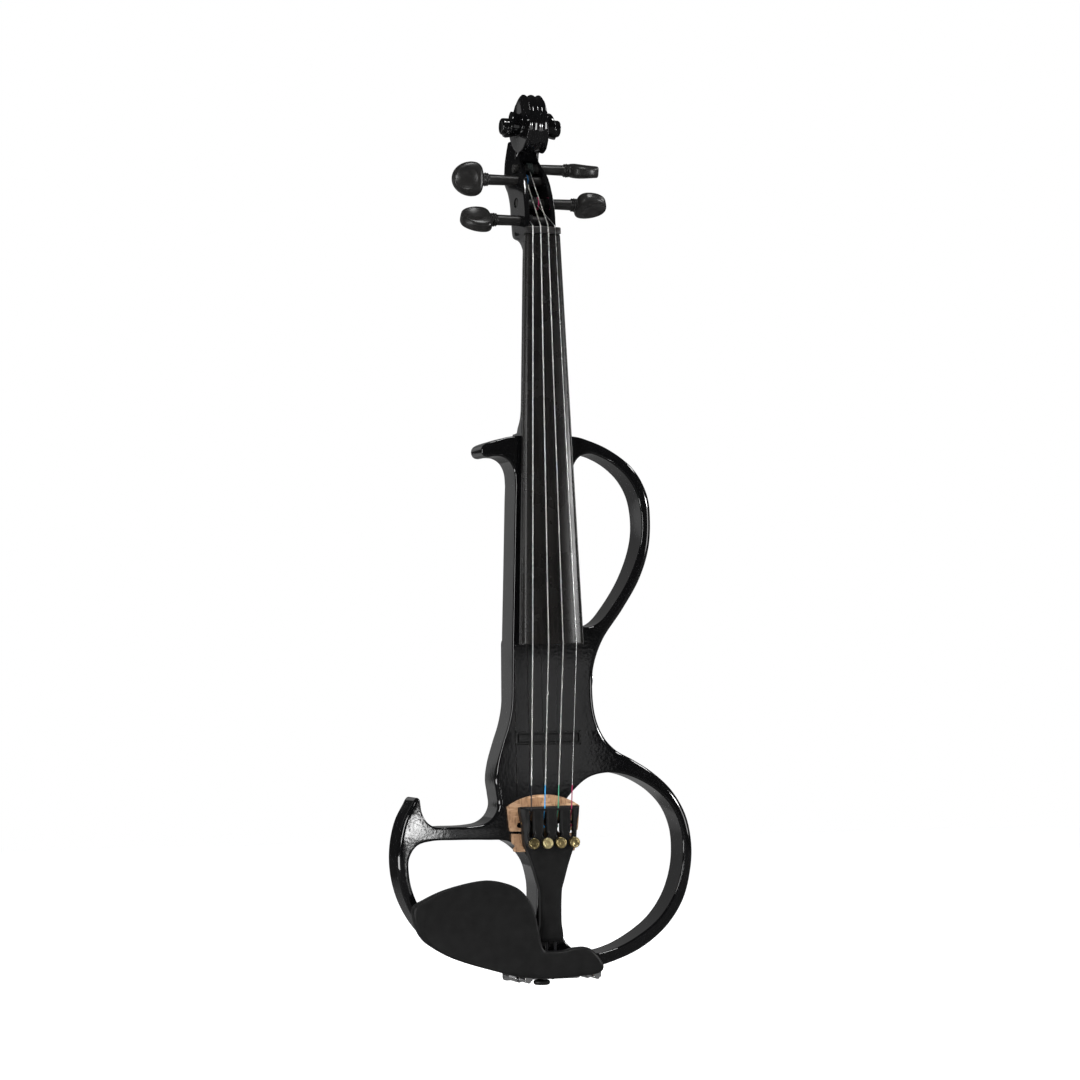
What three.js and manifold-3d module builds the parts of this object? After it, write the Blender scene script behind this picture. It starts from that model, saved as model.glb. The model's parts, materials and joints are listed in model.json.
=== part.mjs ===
import * as THREE from "three";
import { mergeVertices } from "three/addons/utils/BufferGeometryUtils.js";
import Module from "manifold-3d";

// Electric violin with an open frame body, standing upright with its scroll on top.
// Millimetres. X points to the right seen from the front, Y away from the viewer, Z up.
// The model is worked out from the foot of the body, with the body's front face at Y = 0,
// and is moved at the end so that the origin is the place under the scroll that a hook holds.

const wasm = await Module();
wasm.setup();

const DEGREE = Math.PI / 180;
const TURN = 2 * Math.PI;

// Clearances
const FIT_GAP = 0.3;
const CUT_OVERRUN = 2;
const MERGE_TOLERANCE = 1e-3;
const CLEAN_TOLERANCE = 0.02;

// Body
const BODY_LENGTH = 352.5;
const BODY_WIDTH = 203;
const BODY_THICKNESS = 25;
const BODY_EDGE_ROUND = 1;

// Neck, fingerboard and nut
const FINGERBOARD_LENGTH = 270;
const NUT_WIDTH = 24;
const FINGERBOARD_END_WIDTH = 43.4;
const FINGERBOARD_RADIUS = 42;
const FINGERBOARD_EDGE = 5;
const GLUE_DEPTH_AT_NUT = 2.7;
const GLUE_RISE_AT_END = 11.3;
const FINGERBOARD_END_HEIGHT = 215;
const NUT_THICKNESS = 4.4;
const NUT_RISE = 1.25;
const NUT_STRING_FALL = 0.4;
const NECK_THICKNESS = 13.5;
const NECK_ROOT_LENGTH = 18.5;
const NECK_ROOT_HALF_WIDTH = 16;
const NECK_ROOT_DEPTH = 17.5;

// Head
const HEAD_LENGTH = 96.5;
const HANGER_RISE = 55.5;
const SCROLL_RADIUS = 22;
const SCROLL_EYE_HEIGHT = 74.5;
const SCROLL_EYE_DEPTH = 24.5;
const SCROLL_EYE_RADIUS = 5.6;
const SCROLL_WIDTH = 41;
const SCROLL_FLUTE = 1.3;
const PEGBOX_START = 5.2;
const PEGBOX_LENGTH = 47;
const PEGBOX_CAVITY_HALF_WIDTH = 7.6;
const PEGBOX_CAVITY_DEPTH = 33;

// Pegs
const PEG_SHAFT_RADIUS = 3.6;
const PEG_TIP_RADIUS = 3;
const PEG_RING_RADIUS = 4.7;
const PEG_RING_LENGTH = 3.8;
const PEG_HEAD_LENGTH = 20.5;
const PEG_HEAD_WIDTH = 23;
const PEG_HEAD_THICKNESS = 11.6;
const PEG_HEAD_WEB = 6;
const PEG_CHEEK_RADIUS = 17;
const PEG_TIP_REACH = 11.5;

// Strings and their windings
const STRING_RADIUS = 0.42;
const NUT_STRING_SPREAD = 15.6;
const BOARD_END_STRING_SPREAD = 30;
const STRING_CLEARANCE = 0.45;
const WINDING_TURNS = 3;
const WINDING_STRAND_RADIUS = 0.4;
const WINDING_PITCH = 1.26;

// Tailpiece and fine tuners
const TAILPIECE_LENGTH = 88;
const TAILPIECE_FOOT_HEIGHT = 22;
const TAILPIECE_TOP_WIDTH = 40.7;
const TAILPIECE_THICKNESS = 10.2;
const TAILPIECE_WALL = 1.6;
const TAILPIECE_STANDOFF = 5.4;
const TAILPIECE_TURN_ANGLE = 0.8 * DEGREE;
const SLOT_SPACING = 9.2;
const SLOT_WIDTH = 2.2;
const SLOT_TOP_DROP = 2.6;
const SLOT_LENGTH = 15.5;
const SLOT_KEY_RADIUS = 1.9;
const TUNER_INNER_OFFSET = 4.6;
const TUNER_OUTER_OFFSET = 12.6;
const TUNER_SPLAY_ANGLE = 7 * DEGREE;
const TUNER_DROP = 23.4;
const TUNER_STEM_RADIUS = 1.2;
const TUNER_HEAD_RADIUS = 3.6;
const TUNER_RIB = 0.35;
const TUNER_HEAD_LENGTH = 4.2;
const TUNER_STEM_LENGTH = 6.9;
const LEVER_WIDTH = 2;
const LEVER_FORK_WIDTH = 2.8;
const LEVER_THICKNESS = 1.6;
const LEVER_FORK_REACH = 2.8;
const LEVER_ARM_LENGTH = 13.9;
const LEVER_HUB_RADIUS = 1.8;
const LEVER_PIN_RADIUS = 0.7;
const LEVER_PIN_DROP = 10.5;
const LEVER_PIN_DEPTH = 3.2;
const BALL_RADIUS = 1.1;
const BALL_DROP = 2.4;

// Tail gut, saddle and end button
const GUT_RADIUS = 1;
const GUT_HALF_SPACING = 2.9;
const GUT_INSET = 2.6;
const GUT_SINK = 6;
const SADDLE_WIDTH = 17;
const SADDLE_HEIGHT = 4.4;
const SADDLE_RISE = 3.4;
const SADDLE_SINK = 2.6;
const SADDLE_FOOT = 0.4;
const BUTTON_DEPTH = 11.5;
const BUTTON_NECK_RADIUS = 2.1;
const BUTTON_HEAD_RADIUS = 5.5;
const BUTTON_NECK_LENGTH = 4.2;
const BUTTON_HEAD_LENGTH = 3.4;
const BUTTON_SHANK_RADIUS = 3.6;
const BUTTON_SHANK_LENGTH = 12;
const BUTTON_EDGE = 0.7;

// Bridge, lying flat under the strings
const BRIDGE_WIDTH = 49.5;
const BRIDGE_HEIGHT = 37;
const BRIDGE_THICKNESS = 4.4;
const BRIDGE_FOOT_HEIGHT = 80.5;
const BRIDGE_OFFSET = -2.5;
const BRIDGE_TOP_THICKNESS = 1.6;

// Pickup under the place of the bridge
const PICKUP_HEIGHT = 154.2;
const PICKUP_LENGTH = 45.4;
const PICKUP_WIDTH = 9.2;
const PICKUP_SINK = 2.6;
const PICKUP_OFFSET = 1.7;
const PICKUP_STAND = 0.9;
const PICKUP_EDGE_ROUND = 0.7;
const PICKUP_LEAD_RADIUS = 0.9;
const PICKUP_LEAD_OFFSET = 18.5;
const PICKUP_LEAD_FLARE = 3.9;
const PICKUP_LEAD_FLARE_DEPTH = 2;

// Chinrest and its clamp
const CHINREST_WIDTH = 127.8;
const CHINREST_HEIGHT = 61.3;
const CHINREST_LEFT = -95.6;
const CHINREST_BOTTOM = 2.2;
const CHINREST_FRONT = 22;
const CHINREST_PLATE = 8;
const CHINREST_EDGE_ROUND = 1.6;
const CHINREST_DISH_OFFSET = -52;
const CHINREST_DISH_HEIGHT = 35;
const CHINREST_DISH_RADIUS = 37;
const CHINREST_DISH_DEPTH = 4.6;
const CORK_THICKNESS = 2.4;
const FOOT_INNER_OFFSET = 12.5;
const FOOT_LEFT_WIDTH = 19;
const FOOT_RIGHT_WIDTH = 16;
const FOOT_BOTTOM = 2.6;
const FOOT_HEIGHT = 11;
const FOOT_CORK_MARGIN = 0.6;
const CLAMP_LEFT = -18;
const CLAMP_RIGHT = 29;
const CLAMP_LEFT_HEIGHT = -2.3;
const CLAMP_RIGHT_HEIGHT = -1;
const CLAMP_ROD_RADIUS = 1.5;
const CLAMP_BARREL_RADIUS = 2.7;
const CLAMP_BARREL_START = 3.4;
const CLAMP_BARREL_LENGTH = 14;
const CLAMP_STUD_ENGAGEMENT = 4.4;
const CLAMP_LEG_ENGAGEMENT = 6.4;
const CLAMP_KEY_HOLE_RADIUS = 0.8;
const CLAMP_PLATE = 1.8;
const CLAMP_PLATE_TOP = 10;
const CLAMP_PLATE_MARGIN = 3.4;
const CLAMP_PLATE_CORNER = 2.4;
const CLAMP_TAB_HEIGHT = 9;
const CLAMP_TAB_WIDTH = 5;
const CLAMP_TAB_THICKNESS = 1.6;
const CLAMP_TAB_DEPTH = 5;

// Electronics in the back
const POCKET_LEFT = -16.6;
const POCKET_BOTTOM = 121;
const POCKET_STEP_DROP = 12.2;
const POCKET_MARGIN = 0.8;
const POCKET_FLOOR = 6;
const PANEL_LEFT_MARGIN = 5;
const PANEL_RIGHT_MARGIN = 5.8;
const PANEL_BOTTOM_MARGIN = 4.4;
const PANEL_TOP_MARGIN = 3.4;
const PANEL_THICKNESS = 2.2;
const PANEL_CORNER = 3.5;
const PANEL_SLANT_ACROSS = 18.7;
const PANEL_SLANT_HEIGHT = 17.4;
const BATTERY_WIDTH = 26.5;
const BATTERY_LENGTH = 46.4;
const BATTERY_THICKNESS = 17.2;
const BATTERY_INSET = 1.8;
const BATTERY_RISE = 2.4;
const BATTERY_POST_RADIUS = 3.6;
const BATTERY_POST_HEIGHT = 2;
const BATTERY_POST_SPACING = 12.7;
const SNAP_THICKNESS = 4.4;
const BOX_WALL = 0.8;
const DOOR_MARGIN = 1.4;
const DOOR_PIN_RADIUS = 0.4;
const DOOR_PIN_LENGTH = 1.4;
const DOOR_NOTCH_WIDTH = 10;
const DOOR_NOTCH_DEPTH = 0.8;
const DOOR_NOTCH_HEIGHT = 4;
const BOARD_INSET = 0.6;
const BOARD_WIDTH = 16.6;
const BOARD_LENGTH = 34.2;
const BOARD_SPACING = 6.5;
const BOARD_DEPTH = 8.6;
const BOARD_THICKNESS = 1.6;
const CHIP_WIDTH = 8;
const CHIP_LENGTH = 5;
const CHIP_THICKNESS = 1.2;
const CHIP_SPACING = 10;
const POT_RADIUS = 7.6;
const POT_THICKNESS = 8.4;
const POT_BUSH_RADIUS = 3.4;
const POT_BUSH_STAND = 0.4;
const POT_BORE_DEPTH = 4;
const VOLUME_DROP = 10;
const POT_SPACING = 16;
const KNOB_RADIUS = 6.6;
const KNOB_LENGTH = 6.5;
const KNOB_SHAFT_RADIUS = 1.6;
const KNOB_EDGE = 0.8;
const KNOB_MARK_WIDTH = 0.9;
const KNOB_MARK_DEPTH = 0.6;
const SWITCH_INSET = 3.4;
const SWITCH_DROP = 4.5;
const SWITCH_LENGTH = 13;
const SWITCH_WIDTH = 6;
const SWITCH_DEPTH = 6.5;
const SWITCH_TRAVEL = 3;
const SLIDER_LENGTH = 3.6;
const SLIDER_WIDTH = 2.6;
const SLIDER_RISE = 2;
const SLIDER_DEPTH = 3;
const JACK_SPACING = 16;
const JACK_INSET = 0.5;
const JACK_DEPTH = 15;
const JACK_BODY_LENGTH = 24;
const JACK_BODY_SIZE = 13;
const JACK_BUSH_RADIUS = 4.7;
const JACK_BORE_RADIUS = 3.3;
const JACK_BORE_LENGTH = 28;
const JACK_BUSH_STAND = 0.6;
const JACK_NUT_RADIUS = 8;
const JACK_NUT_LENGTH = 2.6;
const JACK_SEAT_X = 32.6;
const PHONES_SPACING = 16;
const PHONES_BODY_LENGTH = 12;
const PHONES_BODY_SIZE = 6.4;
const PHONES_BUSH_RADIUS = 3;
const PHONES_BORE_RADIUS = 1.8;
const PHONES_BORE_LENGTH = 15;
const PHONES_BUSH_END = 33.9;
const SCREW_RADIUS = 1.2;
const SCREW_HEAD_RADIUS = 2.1;
const SCREW_HEAD_THICKNESS = 1.2;
const SCREW_LENGTH = 9;
const SCREW_INSET = 2.9;
const SCREW_SLANT_RISE = 21.6;

// Derived places
const NUT_LINE = FINGERBOARD_END_HEIGHT + FINGERBOARD_LENGTH;
const BODY_HALF_WIDTH = BODY_WIDTH / 2;
const HANGER_HEIGHT = NUT_LINE + HANGER_RISE;
const HANGER_DEPTH = SCROLL_EYE_DEPTH;
const TAILPIECE_TOP_HEIGHT = TAILPIECE_FOOT_HEIGHT + TAILPIECE_LENGTH;
const BATTERY_LEFT = POCKET_LEFT + BATTERY_INSET;
const BATTERY_BOTTOM = POCKET_BOTTOM + BATTERY_RISE;
const SNAP_BOTTOM = BATTERY_BOTTOM + BATTERY_LENGTH + FIT_GAP;
const BOARD_LEFT = POCKET_LEFT + BOARD_INSET;
const BOARD_RIGHT = BOARD_LEFT + BOARD_WIDTH;
const BOARD_BOTTOM = SNAP_BOTTOM + SNAP_THICKNESS + BOARD_SPACING;
const BOARD_TOP = BOARD_BOTTOM + BOARD_LENGTH;
const POCKET_STEP = BATTERY_LEFT + BATTERY_WIDTH + FIT_GAP + BOX_WALL + POCKET_MARGIN;
const POCKET_STEP_HEIGHT = PICKUP_HEIGHT - POCKET_STEP_DROP;
const POCKET_TOP = BOARD_TOP + POCKET_MARGIN;
const POCKET_RIGHT = BOARD_RIGHT + JACK_INSET + JACK_BODY_LENGTH + FIT_GAP;
const PANEL_LEFT = POCKET_LEFT - PANEL_LEFT_MARGIN;
const PANEL_RIGHT = POCKET_RIGHT + PANEL_RIGHT_MARGIN;
const PANEL_BOTTOM = POCKET_BOTTOM - PANEL_BOTTOM_MARGIN;
const PANEL_TOP = POCKET_TOP + PANEL_TOP_MARGIN;
const POT_OFFSET = (BOARD_LEFT + BOARD_RIGHT) / 2;
const VOLUME_HEIGHT = POCKET_TOP - VOLUME_DROP;
const TONE_HEIGHT = VOLUME_HEIGHT - POT_SPACING;
const SWITCH_OFFSET = POCKET_RIGHT - SWITCH_INSET - SWITCH_LENGTH / 2;
const SWITCH_HEIGHT = POCKET_TOP - SWITCH_DROP - SWITCH_WIDTH / 2;
const JACK_HEIGHT = SWITCH_HEIGHT - JACK_SPACING;
const PHONES_HEIGHT = JACK_HEIGHT - PHONES_SPACING;

// Materials
const finish = (color, roughness, metalness = 0) =>
  new THREE.MeshStandardMaterial({ color, roughness, metalness });
const LACQUER = finish(0x0b0b0c, 0.12);
const EBONY = finish(0x161616, 0.42);
const MATTE_BLACK = finish(0x1b1b1b, 0.6);
const STEEL = finish(0xc9c9c6, 0.25, 1);
const BRASS = finish(0xb08d45, 0.3, 1);
const CHROME = finish(0xd6d6d6, 0.1, 1);
const MAPLE = finish(0xc39a70, 0.6);
const CORK = finish(0xa87c4c, 0.9);
const PLASTIC = finish(0x202022, 0.5);
const BOARD_GREEN = finish(0x1f4a33, 0.5);
const NYLON = finish(0x222222, 0.4);
const SILK = finish(0x3a3a3c, 0.7);

// Solids

function solidOf(geometry) {
  const bare = geometry.index ? geometry.toNonIndexed() : geometry.clone();
  bare.deleteAttribute("normal");
  bare.deleteAttribute("uv");
  const merged = mergeVertices(bare, MERGE_TOLERANCE);
  const corners = [];
  for (let i = 0; i < merged.index.count; i += 3) {
    const [a, b, c] = [0, 1, 2].map((k) => merged.index.getX(i + k));
    if (a !== b && b !== c && c !== a) corners.push(a, b, c);
  }
  return new wasm.Manifold(
    new wasm.Mesh({
      numProp: 3,
      vertProperties: merged.attributes.position.array,
      triVerts: new Uint32Array(corners),
    }),
  );
}

function geometryOf(solid) {
  const { vertProperties, triVerts, numProp } = solid.getMesh();
  const position = new THREE.BufferAttribute(vertProperties, numProp);
  const geometry = new THREE.BufferGeometry();
  geometry.setAttribute("position", position);
  geometry.setIndex(new THREE.BufferAttribute(triVerts, 1));
  const flat = geometry.toNonIndexed();
  flat.computeVertexNormals();
  return flat;
}

const join = (first, ...others) => {
  const sum = others.reduce((soFar, next) => soFar.add(solidOf(next)), solidOf(first));
  return geometryOf(sum.simplify(CLEAN_TOLERANCE));
};
const cut = (first, ...others) => {
  const rest = others.reduce((left, next) => left.subtract(solidOf(next)), solidOf(first));
  return geometryOf(rest.simplify(CLEAN_TOLERANCE));
};

// Shapes

function block([x0, x1], [y0, y1], [z0, z1]) {
  const box = new THREE.BoxGeometry(x1 - x0, y1 - y0, z1 - z0);
  return box.translate((x0 + x1) / 2, (y0 + y1) / 2, (z0 + z1) / 2);
}

// A round solid about an axis through the given point; the profile holds [radius, distance].
function turned(profile, axis, at, segments = 24) {
  const points = profile.map(([radius, along]) => new THREE.Vector2(radius, along));
  const geometry = new THREE.LatheGeometry(points, segments);
  const turn = new THREE.Quaternion().setFromUnitVectors(
    new THREE.Vector3(0, 1, 0),
    axis.clone().normalize(),
  );
  return geometry.applyQuaternion(turn).translate(at.x, at.y, at.z);
}

const rod = (radius, from, to, axis, at, segments) =>
  turned([[0, from], [radius, from], [radius, to], [0, to]], axis, at, segments);

const ring = (inner, outer, from, to, axis, at, segments) =>
  turned(
    [[inner, from], [outer, from], [outer, to], [inner, to], [inner, from]],
    axis,
    at,
    segments,
  );

const AXIS_X = new THREE.Vector3(1, 0, 0);
const AXIS_Y = new THREE.Vector3(0, 1, 0);
const AXIS_Z = new THREE.Vector3(0, 0, 1);
const point = (x, y, z) => new THREE.Vector3(x, y, z);

// A flat outline in X and Z, given thickness along Y from near to far.
function plate(shape, near, far, edge = 0, curveSegments = 3) {
  const geometry = new THREE.ExtrudeGeometry(shape, {
    depth: far - near - 2 * edge,
    bevelEnabled: edge > 0,
    bevelThickness: edge,
    bevelSize: edge,
    bevelOffset: -edge,
    bevelSegments: 1,
    curveSegments,
  });
  return geometry.rotateX(Math.PI / 2).translate(0, far - edge, 0);
}

// A closed solid through rings of points, every ring with as many points as the next.
function loft(rings) {
  const count = rings[0].length;
  const vertices = rings.flat();
  const faces = [];
  for (let r = 0; r + 1 < rings.length; r += 1) {
    for (let i = 0; i < count; i += 1) {
      const j = (i + 1) % count;
      const a = r * count + i;
      const b = r * count + j;
      faces.push([a, b, b + count], [a, b + count, a + count]);
    }
  }
  const last = (rings.length - 1) * count;
  const cap = (list) => {
    const centre = list.reduce((sum, p) => sum.add(p), point(0, 0, 0));
    return centre.divideScalar(count);
  };
  const start = vertices.push(cap(rings[0])) - 1;
  const end = vertices.push(cap(rings[rings.length - 1])) - 1;
  for (let i = 0; i < count; i += 1) {
    const j = (i + 1) % count;
    faces.push([start, j, i], [end, last + i, last + j]);
  }
  const skin = (list) => {
    const positions = list.flat().flatMap((k) => vertices[k].toArray());
    const geometry = new THREE.BufferGeometry();
    geometry.setAttribute("position", new THREE.Float32BufferAttribute(positions, 3));
    return solidOf(geometry);
  };
  const solid = skin(faces);
  const outward = solid.volume() > 0 ? solid : skin(faces.map((face) => face.reverse()));
  return geometryOf(outward);
}

// A thin round strand through points, straight between them.
function strand(points, radius, sides = 6) {
  const rings = points.map((at, i) => {
    const before = points[Math.max(i - 1, 0)];
    const after = points[Math.min(i + 1, points.length - 1)];
    const along = after.clone().sub(before).normalize();
    const across = AXIS_X.clone().addScaledVector(along, -along.x).normalize();
    const over = along.clone().cross(across);
    return Array.from({ length: sides }, (_, k) => {
      const angle = (k / sides) * TURN;
      return at
        .clone()
        .addScaledVector(across, radius * Math.cos(angle))
        .addScaledVector(over, radius * Math.sin(angle));
    });
  });
  return loft(rings);
}

function tube(curve, radius, steps, sides) {
  const section = new THREE.Shape();
  for (let k = 0; k < sides; k += 1) {
    const angle = (k / sides) * TURN;
    const x = radius * Math.cos(angle);
    const y = radius * Math.sin(angle);
    if (k === 0) section.moveTo(x, y);
    else section.lineTo(x, y);
  }
  section.closePath();
  return new THREE.ExtrudeGeometry(section, {
    extrudePath: curve,
    steps,
    bevelEnabled: false,
  });
}

const model = new THREE.Group();
model.position.set(0, -HANGER_DEPTH, -HANGER_HEIGHT);

function piece(name, geometry, material, parent = model) {
  const mesh = new THREE.Mesh(geometry, material);
  mesh.name = name;
  parent.add(mesh);
  return mesh;
}

// Fingerboard surface

const gluePlane = (z) =>
  GLUE_DEPTH_AT_NUT -
  ((GLUE_DEPTH_AT_NUT + GLUE_RISE_AT_END) * (NUT_LINE - z)) / FINGERBOARD_LENGTH;
const boardHalfWidth = (z) =>
  (NUT_WIDTH +
    ((FINGERBOARD_END_WIDTH - NUT_WIDTH) * (NUT_LINE - z)) / FINGERBOARD_LENGTH) /
  2;
const arcDrop = (x) => FINGERBOARD_RADIUS - Math.sqrt(FINGERBOARD_RADIUS ** 2 - x ** 2);
const boardTop = (x, z) =>
  gluePlane(z) - FINGERBOARD_EDGE - arcDrop(boardHalfWidth(z)) + arcDrop(x);

// Outline of the body, as shares of its half width and its length

const RIGHT_EDGE_SHARES = [
  [0.207, 0.999], [0.307, 0.993], [0.47, 0.974], [0.633, 0.938], [0.722, 0.891],
  [0.742, 0.843], [0.726, 0.787], [0.657, 0.731], [0.538, 0.675], [0.402, 0.619],
  [0.341, 0.572], [0.329, 0.533], [0.348, 0.477], [0.404, 0.438], [0.489, 0.413],
  [0.61, 0.394], [0.739, 0.371], [0.874, 0.336], [0.971, 0.289], [1.01, 0.233],
  [0.998, 0.182], [0.943, 0.13], [0.835, 0.084], [0.66, 0.044], [0.453, 0.019],
  [0.217, 0.004], [-0.01, 0], [-0.256, 0.005], [-0.493, 0.022], [-0.68, 0.051],
  [-0.828, 0.088], [-0.931, 0.136], [-0.983, 0.187], [-0.989, 0.238],
  [-0.952, 0.287], [-0.893, 0.319],
];
const HOOK_SHARES = [
  [-0.875, 0.328], [-0.857, 0.331], [-0.843, 0.327], [-0.838, 0.319],
  [-0.83, 0.305], [-0.798, 0.287], [-0.744, 0.277], [-0.65, 0.276],
  [-0.493, 0.277], [-0.404, 0.282], [-0.349, 0.294], [-0.321, 0.312],
];
const SPINE_EDGE_SHARES = [
  [-0.328, 0.335], [-0.34, 0.36], [-0.327, 0.39], [-0.29, 0.427], [-0.25, 0.462],
  [-0.228, 0.494], [-0.222, 0.539], [-0.219, 0.601], [-0.206, 0.743],
  [-0.194, 0.879], [-0.191, 0.913],
];
const HORN_SHARES = [
  [-0.201, 0.935], [-0.233, 0.951], [-0.281, 0.959], [-0.335, 0.96],
  [-0.378, 0.958], [-0.407, 0.961], [-0.42, 0.971], [-0.406, 0.98],
  [-0.305, 0.991], [-0.197, 0.998],
];
const UPPER_WINDOW_SHARES = [
  [0.192, 0.743], [0.192, 0.913], [0.2, 0.939], [0.243, 0.96], [0.315, 0.967],
  [0.414, 0.958], [0.505, 0.942], [0.586, 0.919], [0.648, 0.885], [0.673, 0.834],
  [0.653, 0.79], [0.577, 0.733], [0.463, 0.681], [0.374, 0.652], [0.3, 0.643],
  [0.232, 0.647], [0.197, 0.667], [0.192, 0.7],
];
const RIGHT_WINDOW_SHARES = [
  [0.069, 0.17], [0.069, 0.221], [0.081, 0.272], [0.118, 0.312], [0.193, 0.34],
  [0.296, 0.363], [0.417, 0.371], [0.542, 0.367], [0.66, 0.354], [0.778, 0.332],
  [0.869, 0.303], [0.926, 0.264], [0.94, 0.221], [0.922, 0.18], [0.869, 0.138],
  [0.773, 0.099], [0.64, 0.069], [0.473, 0.045], [0.31, 0.036], [0.194, 0.044],
  [0.13, 0.059], [0.088, 0.09],
];
const LEFT_WINDOW_SHARES = [
  [-0.063, 0.159], [-0.073, 0.18], [-0.104, 0.209], [-0.163, 0.231],
  [-0.256, 0.248], [-0.394, 0.251], [-0.611, 0.252], [-0.768, 0.251],
  [-0.862, 0.243], [-0.913, 0.221], [-0.916, 0.193], [-0.889, 0.157],
  [-0.813, 0.115], [-0.69, 0.078], [-0.532, 0.05], [-0.355, 0.036],
  [-0.207, 0.04], [-0.113, 0.064], [-0.073, 0.102],
];

const OUTLINE_STEPS = 2;

const onBody = ([across, up]) =>
  point(across * BODY_HALF_WIDTH, up * BODY_LENGTH, 0);

// A closed smooth outline through the points, as a list that doesn't repeat its start.
function smoothLoop(points, steps = OUTLINE_STEPS) {
  const curve = new THREE.CatmullRomCurve3(points, true, "centripetal");
  const loop = curve.getPoints(points.length * steps).slice(0, -1);
  return loop.map((p) => new THREE.Vector2(p.x, p.y));
}

function bodyFrame() {
  const edge = [RIGHT_EDGE_SHARES, HOOK_SHARES, SPINE_EDGE_SHARES, HORN_SHARES].flat();
  const outline = new THREE.Shape(smoothLoop(edge.map(onBody)).reverse());
  outline.holes = [UPPER_WINDOW_SHARES, RIGHT_WINDOW_SHARES, LEFT_WINDOW_SHARES].map(
    (shares) => new THREE.Path(smoothLoop(shares.map(onBody))),
  );
  return plate(outline, 0, BODY_THICKNESS, BODY_EDGE_ROUND);
}

const neckMortise = block(
  [-NECK_ROOT_HALF_WIDTH - FIT_GAP, NECK_ROOT_HALF_WIDTH + FIT_GAP],
  [-CUT_OVERRUN, NECK_ROOT_DEPTH + FIT_GAP],
  [BODY_LENGTH - NECK_ROOT_LENGTH - FIT_GAP, BODY_LENGTH + CUT_OVERRUN],
);
const pickupLeft = PICKUP_OFFSET - PICKUP_LENGTH / 2;
const pickupRight = PICKUP_OFFSET + PICKUP_LENGTH / 2;
const pickupBottom = PICKUP_HEIGHT - PICKUP_WIDTH / 2;
const pickupTop = PICKUP_HEIGHT + PICKUP_WIDTH / 2;
const pickupSlot = block(
  [pickupLeft, pickupRight],
  [-CUT_OVERRUN, PICKUP_SINK],
  [pickupBottom, pickupTop],
);
const pocketDepths = [POCKET_FLOOR, BODY_THICKNESS + CUT_OVERRUN];
const pocketAside = [POCKET_STEP - CUT_OVERRUN, POCKET_RIGHT];
const pocket = join(
  block([POCKET_LEFT, POCKET_STEP], pocketDepths, [POCKET_BOTTOM, POCKET_TOP]),
  block(pocketAside, pocketDepths, [POCKET_STEP_HEIGHT, POCKET_TOP]),
);
const leadHole = turned(
  [
    [0, PICKUP_SINK - CUT_OVERRUN],
    [PICKUP_LEAD_RADIUS + FIT_GAP, PICKUP_SINK - CUT_OVERRUN],
    [PICKUP_LEAD_RADIUS + FIT_GAP, POCKET_FLOOR - PICKUP_LEAD_FLARE_DEPTH],
    [PICKUP_LEAD_FLARE, POCKET_FLOOR + PICKUP_LEAD_RADIUS],
    [0, POCKET_FLOOR + PICKUP_LEAD_RADIUS],
  ],
  AXIS_Y,
  point(PICKUP_LEAD_OFFSET, 0, PICKUP_HEIGHT),
  12,
);
const buttonHole = rod(
  BUTTON_SHANK_RADIUS + FIT_GAP,
  -CUT_OVERRUN,
  BUTTON_SHANK_LENGTH + FIT_GAP,
  AXIS_Z,
  point(0, BUTTON_DEPTH, 0),
);
const saddleNotch = block(
  [-SADDLE_WIDTH / 2 - FIT_GAP, SADDLE_WIDTH / 2 + FIT_GAP],
  [-CUT_OVERRUN, SADDLE_SINK + FIT_GAP],
  [-CUT_OVERRUN, SADDLE_HEIGHT + FIT_GAP],
);
const screwPlaces = [
  [PANEL_LEFT + SCREW_INSET, PANEL_BOTTOM + SCREW_INSET],
  [PANEL_RIGHT - SCREW_INSET, PANEL_BOTTOM + SCREW_SLANT_RISE],
  [PANEL_LEFT + SCREW_INSET, PANEL_TOP - SCREW_INSET],
  [PANEL_RIGHT - SCREW_INSET, PANEL_TOP - SCREW_INSET],
];
const PANEL_NEAR = BODY_THICKNESS + FIT_GAP;
const PANEL_FAR = PANEL_NEAR + PANEL_THICKNESS;
const screwHoles = screwPlaces.map(([x, z]) =>
  rod(
    SCREW_RADIUS + FIT_GAP,
    PANEL_FAR - SCREW_LENGTH - FIT_GAP,
    PANEL_FAR + CUT_OVERRUN,
    AXIS_Y,
    point(x, 0, z),
    10,
  ),
);
const jackBore = rod(
  JACK_BUSH_RADIUS + FIT_GAP,
  POCKET_RIGHT - CUT_OVERRUN,
  POCKET_RIGHT + BODY_HALF_WIDTH,
  AXIS_X,
  point(0, JACK_DEPTH, JACK_HEIGHT),
  20,
);
const jackSeat = rod(
  JACK_NUT_RADIUS + FIT_GAP,
  JACK_SEAT_X,
  POCKET_RIGHT + BODY_HALF_WIDTH,
  AXIS_X,
  point(0, JACK_DEPTH, JACK_HEIGHT),
  24,
);
const phonesBore = rod(
  PHONES_BUSH_RADIUS + FIT_GAP,
  POCKET_RIGHT - CUT_OVERRUN,
  POCKET_RIGHT + BODY_HALF_WIDTH / 2,
  AXIS_X,
  point(0, JACK_DEPTH, PHONES_HEIGHT),
  16,
);

piece(
  "body_frame",
  cut(
    bodyFrame(),
    neckMortise,
    pickupSlot,
    pocket,
    leadHole,
    buttonHole,
    saddleNotch,
    ...screwHoles,
    jackBore,
    jackSeat,
    phonesBore,
  ),
  LACQUER,
);

// Neck, pegbox and scroll

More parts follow.
